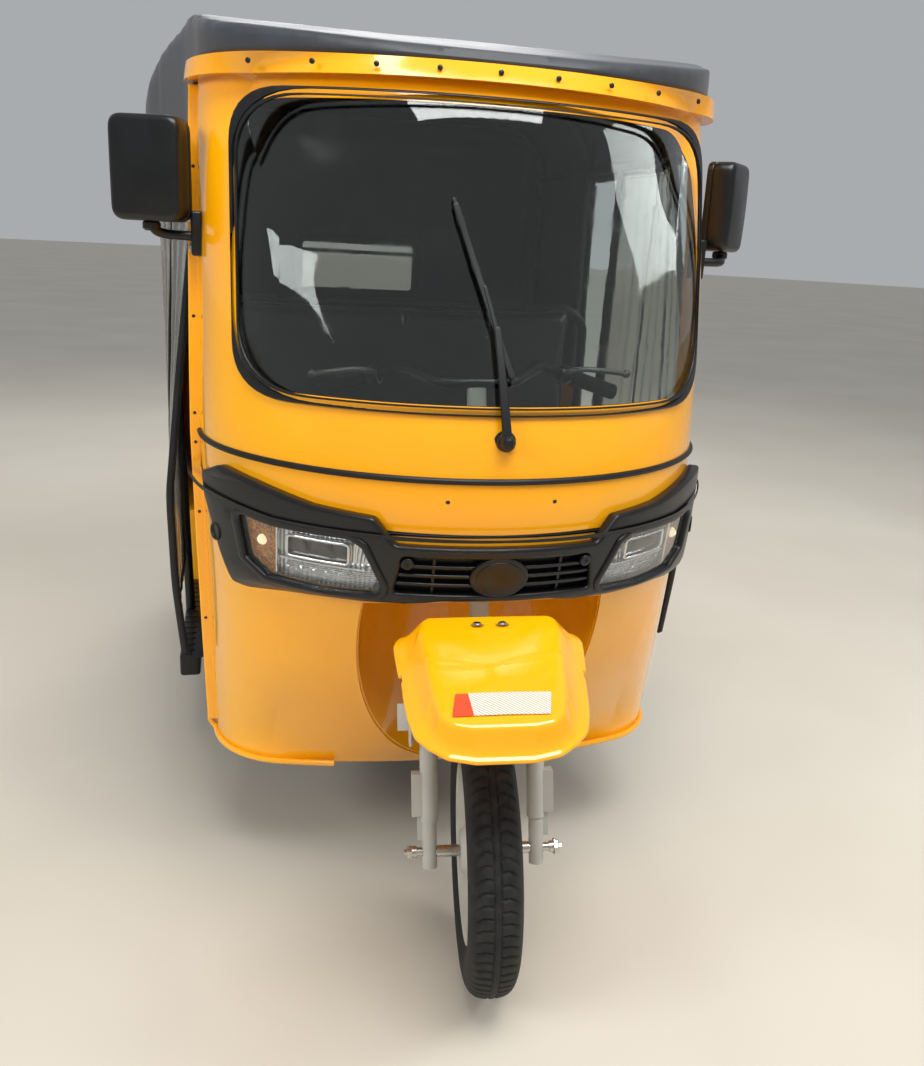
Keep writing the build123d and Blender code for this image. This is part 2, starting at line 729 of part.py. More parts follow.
def make_front_mudguard():
    """A pressed guard with a flat crown, drafted sides and a turned lip, carried by the yoke."""
    def outline(points, z0, slope):
        pts = []
        for x, s in points:
            pts.append(place(s, x, z0 + slope * s))
        mirrored = [(-p.X, p.Y, p.Z) for p in reversed(pts)]
        return make_face(Polyline(*([(p.X, p.Y, p.Z) for p in pts] + mirrored), close=True))

    base = [(62, -288), (120, -262), (150, -205), (182, 30), (182, 48)]
    crown = [(52, -246), (92, -232), (112, -190), (122, -20), (122, 8)]
    outer = loft([outline(base, 668, 0.239), outline(crown, 745, 0.43)], ruled=True)
    base_in = [(60, -282), (116, -256), (146, -202), (178, 30), (178, 52)]
    crown_in = [(50, -242), (89, -228), (108, -188), (118, -20), (118, 12)]
    inner = loft([outline(base_in, 660, 0.239), outline(crown_in, 741, 0.43)], ruled=True)
    shell = outer - inner
    bracket_outline = [(46.6, 545), (51.6, 563), (38, 640), (30, 700), (8, 742), (-14, 738), (8, 640), (28, 545)]
    bracket_face = make_face(Polyline(*[(-32, front_axle_y + s, z) for s, z in bracket_outline], close=True))
    bracket = extrude(bracket_face, amount=64, dir=(1, 0, 0))
    return shell + bracket


def on_column(x, back, level):
    """A point in the column's frame, for what turns with the bars."""
    return column_origin + Vector(1, 0, 0) * x + column.y_dir * back + column_dir * level


def bar_points(side):
    """One half of the bar's centre line: flat middle, riser, end."""
    level = bar_level + bar_radius
    return [on_column(side * 70, 0, level), on_column(side * 140, 110, level + 50),
            on_column(side * grip_inner, 145, level + 32)]


def make_handlebar():
    """A bent bar on the top of the stem."""
    points = bar_points(-1)[::-1] + bar_points(1)
    return tube_path(points, [40, 60, 60, 40], bar_radius)


def make_grips():
    """Rubber grips beyond the bar's ends."""
    grips = []
    for side in (-1, 1):
        middle, knee, end = bar_points(side)
        along = (end - knee).normalized()
        grips.append(rod(end + along * hidden_gap, end + along * 112, 16))
    return grips


def make_brake_pedal():
    """A pedal plate on its arm at the driver's right foot."""
    foot = box_between(-180, -140, 590, 640, floor_level, floor_level + 16)
    arm = rod(place(615, -160, floor_level + 12), place(560, -160, 420), 7)
    pad = box_between(-195, -125, 548, 560, 400, 450)
    return fused([foot, arm, pad])


def make_side_curtains():
    """Clear sheets with a dark edge, hung from the hood's skirt beside the driver."""
    top_z = rail_level - bow_radius - hidden_gap
    bottom_z = 660.0
    sheet = 3.0
    rail_half = canopy_half - canopy_wall - bow_radius - 4
    top_line = [(585.0, 493.0), (bow_places[0], rail_half), (1190.0, rail_half)]
    bottom_line = [(560.0, 575.0), (bow_places[0], sill_half), (1190.0, sill_half)]
    sheets = []
    for side in (-1, 1):
        ends = []
        for line, z in ((bottom_line, bottom_z), (top_line, top_z)):
            outer = [place(s, side * x, z) for s, x in line]
            inner = [place(s, side * (x - sheet), z) for s, x in reversed(line)]
            ends.append(make_face(Polyline(*(outer + inner), close=True)))
        sheets.append(loft(ends, ruled=True))
    return sheets


os.makedirs("parts", exist_ok=True)


def save(name, shape):
    """Write one node; several loose solids go in as one compound."""
    if isinstance(shape, list):
        shape = Compound(shape)
    export_step(shape, f"parts/{name}.step")


front_wheel_at = column * Pos(0, -axle_ahead, 0)
tyre = tyre_solid()
front_rim = rim_solid(front_axle_radius + bearing_gap)
rear_rim = rim_solid(14 + bearing_gap)

save("chassis_frame", make_chassis_frame())
save("floor_pan", make_floor_pan())
save("front_cowl", make_front_cowl())
save("wheel_well", make_wheel_well())
save("windscreen_glass", make_windscreen())
save("windscreen_seal", make_windscreen_seal())
save("trim_strip", make_trim_strip())
save("front_visor", make_front_visor())
save("headlamp_mask", make_headlamp_mask())
save("headlamps", make_headlamps())
save("mirror_left", make_mirror(1))
save("mirror_right", make_mirror(-1))
save("wiper", make_wiper())
save("dash_panel", make_dash_panel())
save("canopy", make_canopy())
save("rear_window", make_rear_window())
save("canopy_frame", make_canopy_frame())
save("partition", make_partition())
save("seat_bases", make_seat_bases())
save("driver_cushion", cushion(265, seat_front, seat_rear - 10, driver_seat_level + hidden_gap,
                               driver_seat_level + cushion_thick, 20))
save("driver_backrest", cushion(500, partition_s - 90, partition_s - bow_radius - hidden_gap, 800,
                                partition_high + 26, 20))
save("rear_cushion", cushion(530, tub_front + 45, 1945 - hidden_gap, rear_seat_level + hidden_gap,
                             rear_seat_level + cushion_thick, 25))
save("rear_backrest", cushion(530, 1945, 2040, rear_seat_level + 30, 1130, 25))
save("rear_body", make_rear_body())
save("engine_lid", make_engine_lid())
save("rear_bumper", make_rear_bumper())
save("tail_lamps", make_tail_lamps())
save("engine_block", make_engine_block())
save("rear_axle", make_rear_axle())
save("rear_shocks", make_rear_shocks())
save("brake_pedal", make_brake_pedal())
save("side_curtains", make_side_curtains())
save("steering_fork", steered(make_fork()))
save("fork_legs", [steered(leg) for leg in make_fork_legs()])
save("front_axle", steered(make_front_axle()))
save("front_mudguard", steered(make_front_mudguard()))
save("handlebar", steered(make_handlebar()))
save("grips", [steered(grip) for grip in make_grips()])
save("front_tyre", steered(front_wheel_at * tyre))
save("front_rim", steered(front_wheel_at * front_rim))
for name, side in (("left", 1), ("right", -1)):
    at = Pos(place(rear_axle_s, side * rear_track / 2, axle_height))
    save(f"rear_tyre_{name}", at * tyre)
    save(f"rear_rim_{name}", at * rear_rim)
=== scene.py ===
import math
import bpy
from mathutils import Matrix, Vector, noise


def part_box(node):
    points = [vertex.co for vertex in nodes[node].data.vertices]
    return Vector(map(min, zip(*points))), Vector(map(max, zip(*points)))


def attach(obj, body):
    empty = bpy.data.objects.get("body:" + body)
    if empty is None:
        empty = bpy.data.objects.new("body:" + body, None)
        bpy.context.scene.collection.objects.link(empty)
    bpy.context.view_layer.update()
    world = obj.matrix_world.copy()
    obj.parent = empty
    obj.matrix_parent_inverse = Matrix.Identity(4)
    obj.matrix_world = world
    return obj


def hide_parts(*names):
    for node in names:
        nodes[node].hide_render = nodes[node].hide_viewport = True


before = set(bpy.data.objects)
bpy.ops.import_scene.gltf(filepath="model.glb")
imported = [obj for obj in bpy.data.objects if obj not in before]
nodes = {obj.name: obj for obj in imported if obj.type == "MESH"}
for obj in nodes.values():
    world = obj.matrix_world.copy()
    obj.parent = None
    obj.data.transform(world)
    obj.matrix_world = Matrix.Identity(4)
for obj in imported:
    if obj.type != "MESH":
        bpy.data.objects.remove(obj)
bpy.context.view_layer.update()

# The vehicle faces -Y, +X is its left side. "back" below is a distance behind the front axle, in metres.
wheelbase = 2.0
rearRimLow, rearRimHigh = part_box("rear_rim_left")
frontAxleY = (rearRimLow.y + rearRimHigh.y) / 2 - wheelbase
sides = ((-1, "Right"), (1, "Left"))


def spot(back, x=0.0, z=0.0):
    return Vector((x, frontAxleY + back, z))


# Small helpers

def deselectAll():
    if bpy.context.object and bpy.context.object.mode != "OBJECT":
        bpy.ops.object.mode_set(mode="OBJECT")
    bpy.ops.object.select_all(action="DESELECT")


def activate(piece):
    deselectAll()
    piece.select_set(True)
    bpy.context.view_layer.objects.active = piece


def linear(hexColour):
    channels = [int(hexColour[i:i + 2], 16) / 255 for i in (1, 3, 5)]
    return [c / 12.92 if c <= 0.04045 else ((c + 0.055) / 1.055) ** 2.4 for c in channels] + [1.0]


def addNode(tree, kind, settings=None, links=None):
    node = tree.nodes.new("ShaderNode" + kind)
    for name, value in (settings or {}).items():
        if isinstance(name, int) or name in node.inputs:
            node.inputs[name].default_value = value
        else:
            setattr(node, name, value)
    for name, socket in (links or {}).items():
        tree.links.new(socket, node.inputs[name])
    return node


# Materials. Pattern scales are in repeats per metre, worked out from a size in millimetres.

def perMetre(millimetreSize):
    return 1000 / millimetreSize


def startMaterial(name, settings=None):
    material = bpy.data.materials.new(name)
    material.use_nodes = True
    tree = material.node_tree
    shader = tree.nodes["Principled BSDF"]
    for socket, value in (settings or {}).items():
        shader.inputs[socket].default_value = value
    return material, tree, shader, addNode(tree, "TexCoord").outputs["Object"]


def drive(shader, socket, colours=None, meet=(0.3, 0.7), rough=None, over=(0.0, 1.0), bump=None):
    # a pattern drives the shader: two colours on a ramp, roughness over a range, bump (strength, distance)
    tree = shader.id_data
    ramp = None
    if colours:
        ramp = addNode(tree, "ValToRGB", links={"Fac": socket})
        for element, place, colour in zip(ramp.color_ramp.elements, meet, colours):
            element.position = place
            element.color = linear(colour)
        tree.links.new(ramp.outputs["Color"], shader.inputs["Base Color"])
    if rough:
        spread = addNode(tree, "MapRange", {"From Min": over[0], "From Max": over[1], "To Min": rough[0],
                                            "To Max": rough[1]}, {"Value": socket})
        tree.links.new(spread.outputs["Result"], shader.inputs["Roughness"])
    if bump:
        skin = addNode(tree, "Bump", {"Strength": bump[0], "Distance": bump[1]}, {"Height": socket})
        tree.links.new(skin.outputs["Normal"], shader.inputs["Normal"])
    return ramp


def makeYellowEnamel():
    # stoved gloss enamel on pressed steel: deep colour, faint orange peel, and faint pale tan specks towards
    # the foot
    gloss = {"Coat Weight": 0.7, "Coat Roughness": 0.05}
    material, tree, shader, where = startMaterial("yellowEnamel", gloss)
    broad = addNode(tree, "TexNoise", {"Scale": perMetre(420), "Detail": 3.0}, {"Vector": where})
    colour = drive(shader, broad.outputs["Fac"], ("#F5A300", "#FBB007"), (0.35, 0.7))
    # a faint pale tan, in specks, mixed in more towards the bottom and not at all above 0.6 m
    height = addNode(tree, "SeparateXYZ", links={"Vector": where})
    low = addNode(tree, "MapRange", {"From Min": 0.25, "From Max": 0.6, "To Min": 0.10, "To Max": 0.0},
                  {"Value": height.outputs["Z"]})
    specks = addNode(tree, "TexNoise", {"Scale": perMetre(35), "Detail": 6.0}, {"Vector": where})
    paleLowSpecks = addNode(tree, "Math", {"operation": "MULTIPLY"},
                   {0: low.outputs["Result"], 1: specks.outputs["Fac"]})
    speckledYellow = addNode(tree, "Mix", {"data_type": "RGBA", 7: linear("#C9A868")},
                    {0: paleLowSpecks.outputs[0], 6: colour.outputs["Color"]})
    tree.links.new(speckledYellow.outputs[2], shader.inputs["Base Color"])
    drive(shader, specks.outputs["Fac"], rough=(0.14, 0.24), over=(0.3, 0.7))
    peel = addNode(tree, "TexNoise", {"Scale": perMetre(4.5), "Detail": 2.0}, {"Vector": where})
    drive(shader, peel.outputs["Fac"], bump=(0.05, 0.001))
    return material


# Grained finishes: broad clouds (size, detail, roughness) drive colour and gloss, a fine grain the skin
grainForms = {
    # air-dried paint on steel tube and plate: even colour, soft gloss, fine spray grain
    "satinPaint": {"clouds": (90, 5.0, 0.5), "meet": (0.3, 0.72), "grain": {"Detail": 2.0}, "depth": 0.0004},
    # injection-moulded ABS, fine spark-eroded skin, satin black with a soft highlight
    "mouldedPlastic": {"clouds": (60, 4.0, 0.5), "meet": (0.3, 0.75), "grain": None, "depth": 0.0003},
    # moulded or extruded rubber: near black, dull, with pale dust caught in the grain
    "rubber": {"clouds": (28, 7.0, 0.65), "meet": (0.42, 0.78), "grain": {"Detail": 3.0}, "depth": 0.0006},
    # PVC-coated cloth: pebbled grain and a soft sheen
    "leatherette": {"clouds": (160, 5.0, 0.5), "meet": (0.32, 0.7), "grain": None, "depth": 0.0007,
                    "feature": "SMOOTH_F1", "sheen": 0.12},
}


def makeGrained(name, kind, colours, rough, grainSize, strength):
    form = grainForms[kind]
    size, detail, roughness = form["clouds"]
    material, tree, shader, where = startMaterial(name, {"Sheen Weight": form.get("sheen", 0.0)})
    clouds = addNode(tree, "TexNoise", {"Scale": perMetre(size), "Detail": detail, "Roughness": roughness},
                     {"Vector": where})
    drive(shader, clouds.outputs["Fac"], colours, form["meet"], rough)
    if form["grain"]:
        grain = addNode(tree, "TexNoise", {"Scale": perMetre(grainSize), **form["grain"]}, {"Vector": where})
        drive(shader, grain.outputs["Fac"], bump=(strength, form["depth"]))
    else:
        cells = {"Scale": perMetre(grainSize), "feature": form.get("feature", "F1")}
        grain = addNode(tree, "TexVoronoi", cells, {"Vector": where})
        drive(shader, grain.outputs["Distance"], bump=(strength, form["depth"]))
    return material


def makeBrightMetal(name, hexColour, rough, metallic=1.0):
    # plated, polished or cast metal: bright with faint handling marks
    material, tree, shader, where = startMaterial(name, {"Metallic": metallic})
    marks = addNode(tree, "TexNoise", {"Scale": perMetre(14), "Detail": 6.0}, {"Vector": where})
    ramp = drive(shader, marks.outputs["Fac"], (hexColour, hexColour), (0.3, 0.8), (rough * 0.7, rough * 1.5))
    ramp.color_ramp.elements[0].color = [c * 0.86 for c in linear(hexColour)[:3]] + [1.0]
    return material


def makeClear(name, hexColour, rough, weight, ior, waveSize=0.0):
    # glass, film or lens: nearly clear, with dust or soft waves on its surface
    material, tree, shader, where = startMaterial(name, {"Base Color": linear(hexColour), "IOR": ior,
                                                         "Transmission Weight": weight})
    smear = addNode(tree, "TexNoise", {"Scale": perMetre(110), "Detail": 7.0, "Roughness": 0.6},
                    {"Vector": where})
    drive(shader, smear.outputs["Fac"], rough=(rough, rough + 0.12), over=(0.45, 0.8))
    if waveSize:
        wave = addNode(tree, "TexNoise", {"Scale": perMetre(waveSize), "Detail": 2.0}, {"Vector": where})
        drive(shader, wave.outputs["Fac"], bump=(0.3, 0.003))
    return material


def makeReflectorSilver():
    # vacuum-metallised ABS behind the lamp glass: soft silver with moulded flutes, painted darker and lighter
    # across each flute as painted shade and painted highlight
    silver = {"Metallic": 0.85, "Roughness": 0.22}
    material, tree, shader, where = startMaterial("metallisedReflector", silver)
    flutes = addNode(tree, "TexWave", {"Scale": perMetre(26), "bands_direction": "X"}, {"Vector": where})
    # the flutes' wave sets the colour as well as the bump: painted shade in one part of each flute, painted
    # highlight in the other
    drive(shader, flutes.outputs["Fac"], ("#9EA3A6", "#E9ECEE"), (0.1, 0.9), bump=(0.6, 0.001))
    return material


def makeHatchFilm():
    # printed vinyl film: silver ground with a fine slanting hatch and an orange-red end
    hatchPitch, barShare, redEnd = 6, 0.52, -0.098
    material, tree, shader, where = startMaterial("hatchFilm", {"Roughness": 0.3})
    axes = addNode(tree, "SeparateXYZ", links={"Vector": where})
    slant = addNode(tree, "Math", {"operation": "ADD"}, {0: axes.outputs["X"], 1: axes.outputs["Y"]})
    spaced = addNode(tree, "Math", {"operation": "MULTIPLY", 1: perMetre(hatchPitch)}, {0: slant.outputs[0]})
    saw = addNode(tree, "Math", {"operation": "FRACT"}, {0: spaced.outputs[0]})
    bars = addNode(tree, "Math", {"operation": "GREATER_THAN", 1: barShare}, {0: saw.outputs[0]})
    silver = addNode(tree, "Mix", {"data_type": "RGBA", 6: linear("#D5D3CB"), 7: linear("#B3A692")},
                     {0: bars.outputs[0]})
    end = addNode(tree, "Math", {"operation": "LESS_THAN", 1: redEnd}, {0: axes.outputs["X"]})
    colour = addNode(tree, "Mix", {"data_type": "RGBA", 7: linear("#D8492B")},
                     {0: end.outputs[0], 6: silver.outputs[2]})
    tree.links.new(colour.outputs[2], shader.inputs["Base Color"])
    return material


def makeTinted(name, hexDark, hexLight, rough, prismSize, glow=0.0):
    # coloured acrylic with moulded prisms, deep colour and a glossy coat; each prism is painted light at its
    # middle and dark at its edges, a painted glint and painted shade
    material, tree, shader, where = startMaterial(name, {"Roughness": rough, "Coat Weight": 0.6})
    prisms = addNode(tree, "TexVoronoi", {"Scale": perMetre(prismSize)}, {"Vector": where})
    # the prisms' cells set the colour as well as the bump: a painted glint at each middle, painted shade
    # towards each edge
    drive(shader, prisms.outputs["Distance"], (hexLight, hexDark), (0.1, 0.7), bump=(0.5, 0.001))
    if glow:
        shader.inputs["Emission Color"].default_value = linear(hexLight)
        shader.inputs["Emission Strength"].default_value = glow
    return material


yellowEnamel = makeYellowEnamel()
blackPaint = makeGrained("blackFramePaint", "satinPaint", ("#090A0B", "#131416"), (0.35, 0.55), 1.6, 0.12)
greyPaint = makeGrained("greyForkPaint", "satinPaint", ("#ACABA3", "#BDBBB2"), (0.38, 0.55), 1.6, 0.12)
edgeTape = makeGrained("blackEdgeTape", "satinPaint", ("#0B0C0D", "#17181A"), (0.45, 0.62), 1.6, 0.12)
mouldedPlastic = makeGrained("mouldedPlastic", "mouldedPlastic", ("#08090A", "#101113"), (0.27, 0.42), 1.2,
                             0.14)
sealRubber = makeGrained("extrudedSealRubber", "rubber", ("#070809", "#16171A"), (0.35, 0.6), 2.5, 0.25)
tyreRubber = makeGrained("tyreRubber", "rubber", ("#0E0F10", "#2A2A27"), (0.62, 0.85), 1.8, 0.25)
gripRubber = makeGrained("gripRubber", "rubber", ("#0E0E0F", "#1E1E1F"), (0.6, 0.8), 1.5, 0.25)
hoodLeatherette = makeGrained("hoodLeatherette", "leatherette", ("#24272B", "#343840"), (0.42, 0.62), 2.2,
                              0.35)
seatLeatherette = makeGrained("seatLeatherette", "leatherette", ("#101112", "#1C1D1F"), (0.35, 0.5), 1.8, 0.3)
zincPlate = makeBrightMetal("zincPlate", "#C9C7BF", 0.25)
castAluminium = makeBrightMetal("castAluminium", "#8D8F90", 0.5, 0.9)
chromeReflector = makeBrightMetal("chromeReflector", "#E4E6E8", 0.08)
windscreenGlass = makeClear("windscreenGlass", "#DDE6E2", 0.0, 1.0, 1.5)
clearFilm = makeClear("clearFilm", "#E6E4DC", 0.05, 0.92, 1.3, 60)
lampLens = makeClear("lampLens", "#F2F4F4", 0.0, 1.0, 1.45)
redLens = makeClear("redLens", "#B00C0A", 0.05, 0.6, 1.45)
reflectorSilver = makeReflectorSilver()
hatchFilm = makeHatchFilm()
smokedGlass = makeTinted("smokedProjectorGlass", "#0A0B0C", "#1D1F22", 0.06, 9)
amberPlastic = makeTinted("amberAcrylic", "#9A5200", "#E8912A", 0.12, 5)
amberBulb = makeTinted("amberBulbGlass", "#FFC060", "#FFF0C8", 0.1, 8, 0.9)
print("materials made")

# What each solid of the frame is finished with
finishes = {
    yellowEnamel: ["front_cowl", "wheel_well", "front_visor", "front_mudguard", "rear_body", "engine_lid"],
    blackPaint: ["chassis_frame", "floor_pan", "canopy_frame", "partition", "seat_bases", "rear_bumper",
                 "rear_axle", "rear_shocks", "brake_pedal", "handlebar"],
    greyPaint: ["steering_fork", "fork_legs", "front_rim", "rear_rim_left", "rear_rim_right"],
    mouldedPlastic: ["headlamp_mask", "mirror_left", "mirror_right", "wiper", "dash_panel"],
    sealRubber: ["windscreen_seal", "trim_strip"],
    gripRubber: ["grips"],
    tyreRubber: ["front_tyre", "rear_tyre_left", "rear_tyre_right"],
    hoodLeatherette: ["canopy"],
    seatLeatherette: ["driver_cushion", "driver_backrest", "rear_cushion", "rear_backrest"],
    zincPlate: ["front_axle"],
    castAluminium: ["engine_block"],
    windscreenGlass: ["windscreen_glass"],
    clearFilm: ["rear_window", "side_curtains"],
    lampLens: ["headlamps"],
    redLens: ["tail_lamps"],
}
for finish, names in finishes.items():
    for name in names:
        nodes[name].data.materials.clear()
        nodes[name].data.materials.append(finish)
print("solids finished")


# Shared ways of shaping

def addMesh(name, places, edges, faces):
    mesh = bpy.data.meshes.new(name)
    mesh.from_pydata(places, edges, faces)
    piece = bpy.data.objects.new(name, mesh)
    bpy.context.scene.collection.objects.link(piece)
    return piece


def moveAll(piece, rule):
    for vertex in piece.data.vertices:
        vertex.co = rule(vertex.co.copy())


def closeUp(piece, angle=35):
    # doubles merged, normals outwards, smooth shading below an angle
    activate(piece)
    bpy.ops.object.mode_set(mode="EDIT")
    bpy.ops.mesh.select_all(action="SELECT")
    bpy.ops.mesh.remove_doubles(threshold=0.00005)
    bpy.ops.mesh.normals_make_consistent(inside=False)
    bpy.ops.object.mode_set(mode="OBJECT")
    bpy.ops.object.shade_smooth_by_angle(angle=math.radians(angle))


def selectFaces(piece, rule):
    # the faces whose centre and normal the rule takes are selected, and edit mode stays on
    activate(piece)
    bpy.ops.object.mode_set(mode="EDIT")
    bpy.ops.mesh.select_mode(type="FACE")
    bpy.ops.mesh.select_all(action="DESELECT")
    bpy.ops.object.mode_set(mode="OBJECT")
    for face in piece.data.polygons:
        face.select = rule(face.center, face.normal)
    bpy.ops.object.mode_set(mode="EDIT")


def cutPlane(piece, point, normal, rule):
    # splits the faces that the rule takes along a plane
    selectFaces(piece, rule)
    bpy.ops.mesh.bisect(plane_co=point, plane_no=normal)
    bpy.ops.object.mode_set(mode="OBJECT")


def dropFaces(piece, rule):
    selectFaces(piece, rule)
    bpy.ops.mesh.delete(type="FACE")
    bpy.ops.object.mode_set(mode="OBJECT")


def finishPiece(piece, name, body, slot, *materials, replaces=()):
    piece.name = name
    piece.data.name = name
    for material in materials:
        piece.data.materials.append(material)
    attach(piece, body)
    if replaces:
        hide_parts(*replaces)
    return piece


def applyModifier(piece, kind, **settings):
    modifier = piece.modifiers.new(kind.lower(), kind)
    for name, value in settings.items():
        setattr(modifier, name, value)
    activate(piece)
    bpy.ops.object.modifier_apply(modifier=modifier.name)


def joinAll(pieces):
    deselectAll()
    for piece in pieces:
        piece.select_set(True)
    bpy.context.view_layer.objects.active = pieces[0]
    if len(pieces) > 1:
        bpy.ops.object.join()
    return pieces[0]


def rectangle(x0, z0, x1, z1):
    return [(x0, z0), (x1, z0), (x1, z1), (x0, z1)]


def ellipse(x, z, wide, high, count):
    turns = [k * math.pi / (count / 2) for k in range(count)]
    return [(x + wide * math.cos(a), z + high * math.sin(a)) for a in turns]


def roundCorners(points, radius, steps=6):
    # an outline with each corner taken round by an arc, which takes up less than half of either edge
    share, straight = 0.45, 1.56
    rounded = []
    for i, corner in enumerate(points):
        here = Vector(corner)
        before = Vector(points[i - 1]) - here
        after = Vector(points[(i + 1) % len(points)]) - here
        half = before.angle(after, math.pi) / 2
        reach = 0.0
        if half < straight:
            reach = min(radius / math.tan(half), before.length * share, after.length * share)
        start = here + before.normalized() * reach
        end = here + after.normalized() * reach
        for k in range(steps + 1):
            t = k / steps
            rounded.append((start * (1 - t) + here * t) * (1 - t) + (here * (1 - t) + end * t) * t)
    return rounded


def grown(outline, amount):
    # an outline moved outwards by an amount, point by point along its normals
    count = len(outline)
    area = sum(outline[i - 1][0] * outline[i][1] - outline[i][0] * outline[i - 1][1] for i in range(count))
    way = 1 if area > 0 else -1
    moved = []
    for i in range(count):
        along = Vector(outline[(i + 1) % count][:2]) - Vector(outline[i - 1][:2])
        if along.length < 1e-7:
            along = Vector(outline[(i + 2) % count][:2]) - Vector(outline[i - 2][:2])
        along.normalize()
        moved.append((outline[i][0] + way * along.y * amount, outline[i][1] - way * along.x * amount))
    return moved


def mirrored(points):
    return [(-x, z) for x, z in reversed(points)]


def bothSides(half):
    return [*half, *[(-x, z) for x, z in reversed(half) if x > 0]]


def millimetres(points):
    return [tuple(v / 1000 for v in p) for p in points]


def between(rows, level):
    # the values of a table whose first column is a height, straight between the two nearest rows
    for below, above in zip(rows, rows[1:]):
        if level <= above[0]:
            break
    t = min(max((level - below[0]) / (above[0] - below[0]), 0), 1)
    return [b + t * (a - b) for b, a in zip(below[1:], above[1:])]


def plateFrom(outlines, low, high, edge, longest=0.014, rounds=3):
    # a plate with a rounded edge, drawn flat: x and z as given, its depth along y from low to high
    bpy.ops.curve.primitive_bezier_circle_add(location=(0, 0, 0))
    piece = bpy.context.object
    drawing = piece.data
    drawing.dimensions = "2D"
    drawing.splines.clear()
    for outline in outlines:
        spline = drawing.splines.new("POLY")
        spline.points.add(len(outline) - 1)
        for point, place in zip(spline.points, outline):
            point.co = (place[0], place[1], 0, 1)
        spline.use_cyclic_u = True
    drawing.fill_mode = "BOTH"
    drawing.extrude = (high - low) / 2 - edge
    drawing.bevel_depth = edge
    drawing.bevel_resolution = rounds
    drawing.offset = -edge
    activate(piece)
    bpy.ops.object.convert(target="MESH")
    bpy.ops.object.mode_set(mode="EDIT")
    bpy.ops.mesh.select_all(action="SELECT")
    bpy.ops.mesh.remove_doubles(threshold=0.00002)
    bpy.ops.mesh.quads_convert_to_tris()
    bpy.ops.object.mode_set(mode="OBJECT")
    while True:
        # edges longer than the limit are halved, so that the plate can be bent to the cowl
        bpy.ops.object.mode_set(mode="EDIT")
        bpy.ops.mesh.select_mode(type="EDGE")
        bpy.ops.mesh.select_all(action="DESELECT")
        bpy.ops.object.mode_set(mode="OBJECT")
        mesh = piece.data
        tooLong = 0
        for e in mesh.edges:
            e.select = (mesh.vertices[e.vertices[0]].co - mesh.vertices[e.vertices[1]].co).length > longest
            tooLong += e.select
        if not tooLong:
            break
        bpy.ops.object.mode_set(mode="EDIT")
        bpy.ops.mesh.subdivide(number_cuts=1)
        bpy.ops.mesh.select_all(action="SELECT")
        bpy.ops.mesh.quads_convert_to_tris(quad_method="SHORTEST_DIAGONAL", ngon_method="BEAUTY")
        bpy.ops.object.mode_set(mode="OBJECT")
    middle = (low + high) / 2
    moveAll(piece, lambda p: Vector((p.x, p.z + middle, p.y)))
    return piece


def tubeAlong(points, radius, closed=False, sides=4):
    # a round bar or piping along points
    bpy.ops.curve.primitive_nurbs_path_add(location=(0, 0, 0))
    piece = bpy.context.object
    line = piece.data
    line.splines.clear()
    line.dimensions = "3D"
    spline = line.splines.new("NURBS")
    spline.points.add(len(points) - 1)
    for point, place in zip(spline.points, points):
        point.co = (*place, 1)
    spline.use_cyclic_u = closed
    spline.order_u = 3
    spline.use_endpoint_u = not closed
    spline.resolution_u = 6
    line.bevel_depth = radius
    line.bevel_resolution = sides
    line.use_fill_caps = not closed
    activate(piece)
    bpy.ops.object.convert(target="MESH")
    return piece


# Small turned pieces: steps round, then (radius, height) in millimetres from the surface they sit on
turnedForms = {
    "screwRecess": (28, [(0, -2), (11, -2), (12.5, 0.8), (16.5, 1.2), (17.5, 0), (17.5, -3)]),
    "maskScrew": (16, [(0, 0.5), (1.5, 0.5), (1.8, 1.8), (4.8, 1.4), (5.6, 0), (5.6, -1), (0, -1)]),
    "projectorEye": (24, [(0, 4), (6, 3.2), (11, 0.8), (12.5, -2)]),
    "smallLight": (16, [(0, 3), (3.5, 2.2), (5.2, 0), (5.6, -3)]),
    "amberBulb": (24, [(0, 7), (6, 5.8), (9.5, 2), (10.5, -3)]),
    "guardBolt": (20, [(0, 4.2), (4.5, 4), (7.5, 2), (8, 0), (11.5, -0.2), (11.5, -2)]),
    "plateBolt": (6, [(0, 5), (6.5, 5), (7.5, 3.5), (7.5, 0.5), (11, 0), (11, -2)]),
    "axleNut": (6, [(0, 13), (6, 13), (6.2, 9), (6.2, 8), (12.5, 7.5), (13.5, 6), (13.5, 0.5), (16, 0),
                    (16, -2)]),
    "mirrorNeck": (20, [(0, 0), (12, 0), (16.5, 4), (16.5, 14), (12, 19), (9.5, 30)]),
    "mirrorBolt": (6, [(0, 4), (5, 4), (6.5, 2), (7, 0), (7, -3)]),
    "wiperHub": (24, [(0, 34), (6, 34), (10.5, 30), (12.5, 24), (12.5, 14), (16.5, 11), (16.5, 1), (20, 0),
                      (20, -3)]),
    "flangeStud": (14, [(0, 1.8), (2.2, 1.5), (3.6, 0), (3.6, -2)]),
    "facePlug": (16, [(0, 1.2), (2.8, 1.0), (4.4, 0), (4.4, -2)]),
    "wheelNut": (6, [(0, 13), (4.2, 13), (4.6, 9.5), (4.6, 9), (8.8, 8.5), (9.6, 7), (9.6, 1), (12.5, 0),
                     (12.5, -2)]),
    "visorRivet": (14, [(0, 2.2), (3, 1.9), (4.8, 0.4), (4.8, -2)]),
    "leverKnob": (18, [(0, 9), (5, 7.8), (8.5, 3), (8.5, -3), (5, -7.8), (0, -9)]),
    "leverClamp": (24, [(11.5, -11), (18.5, -11), (19.5, -9), (19.5, 9), (18.5, 11), (11.5, 11),
                        (11.5, -11)]),
}


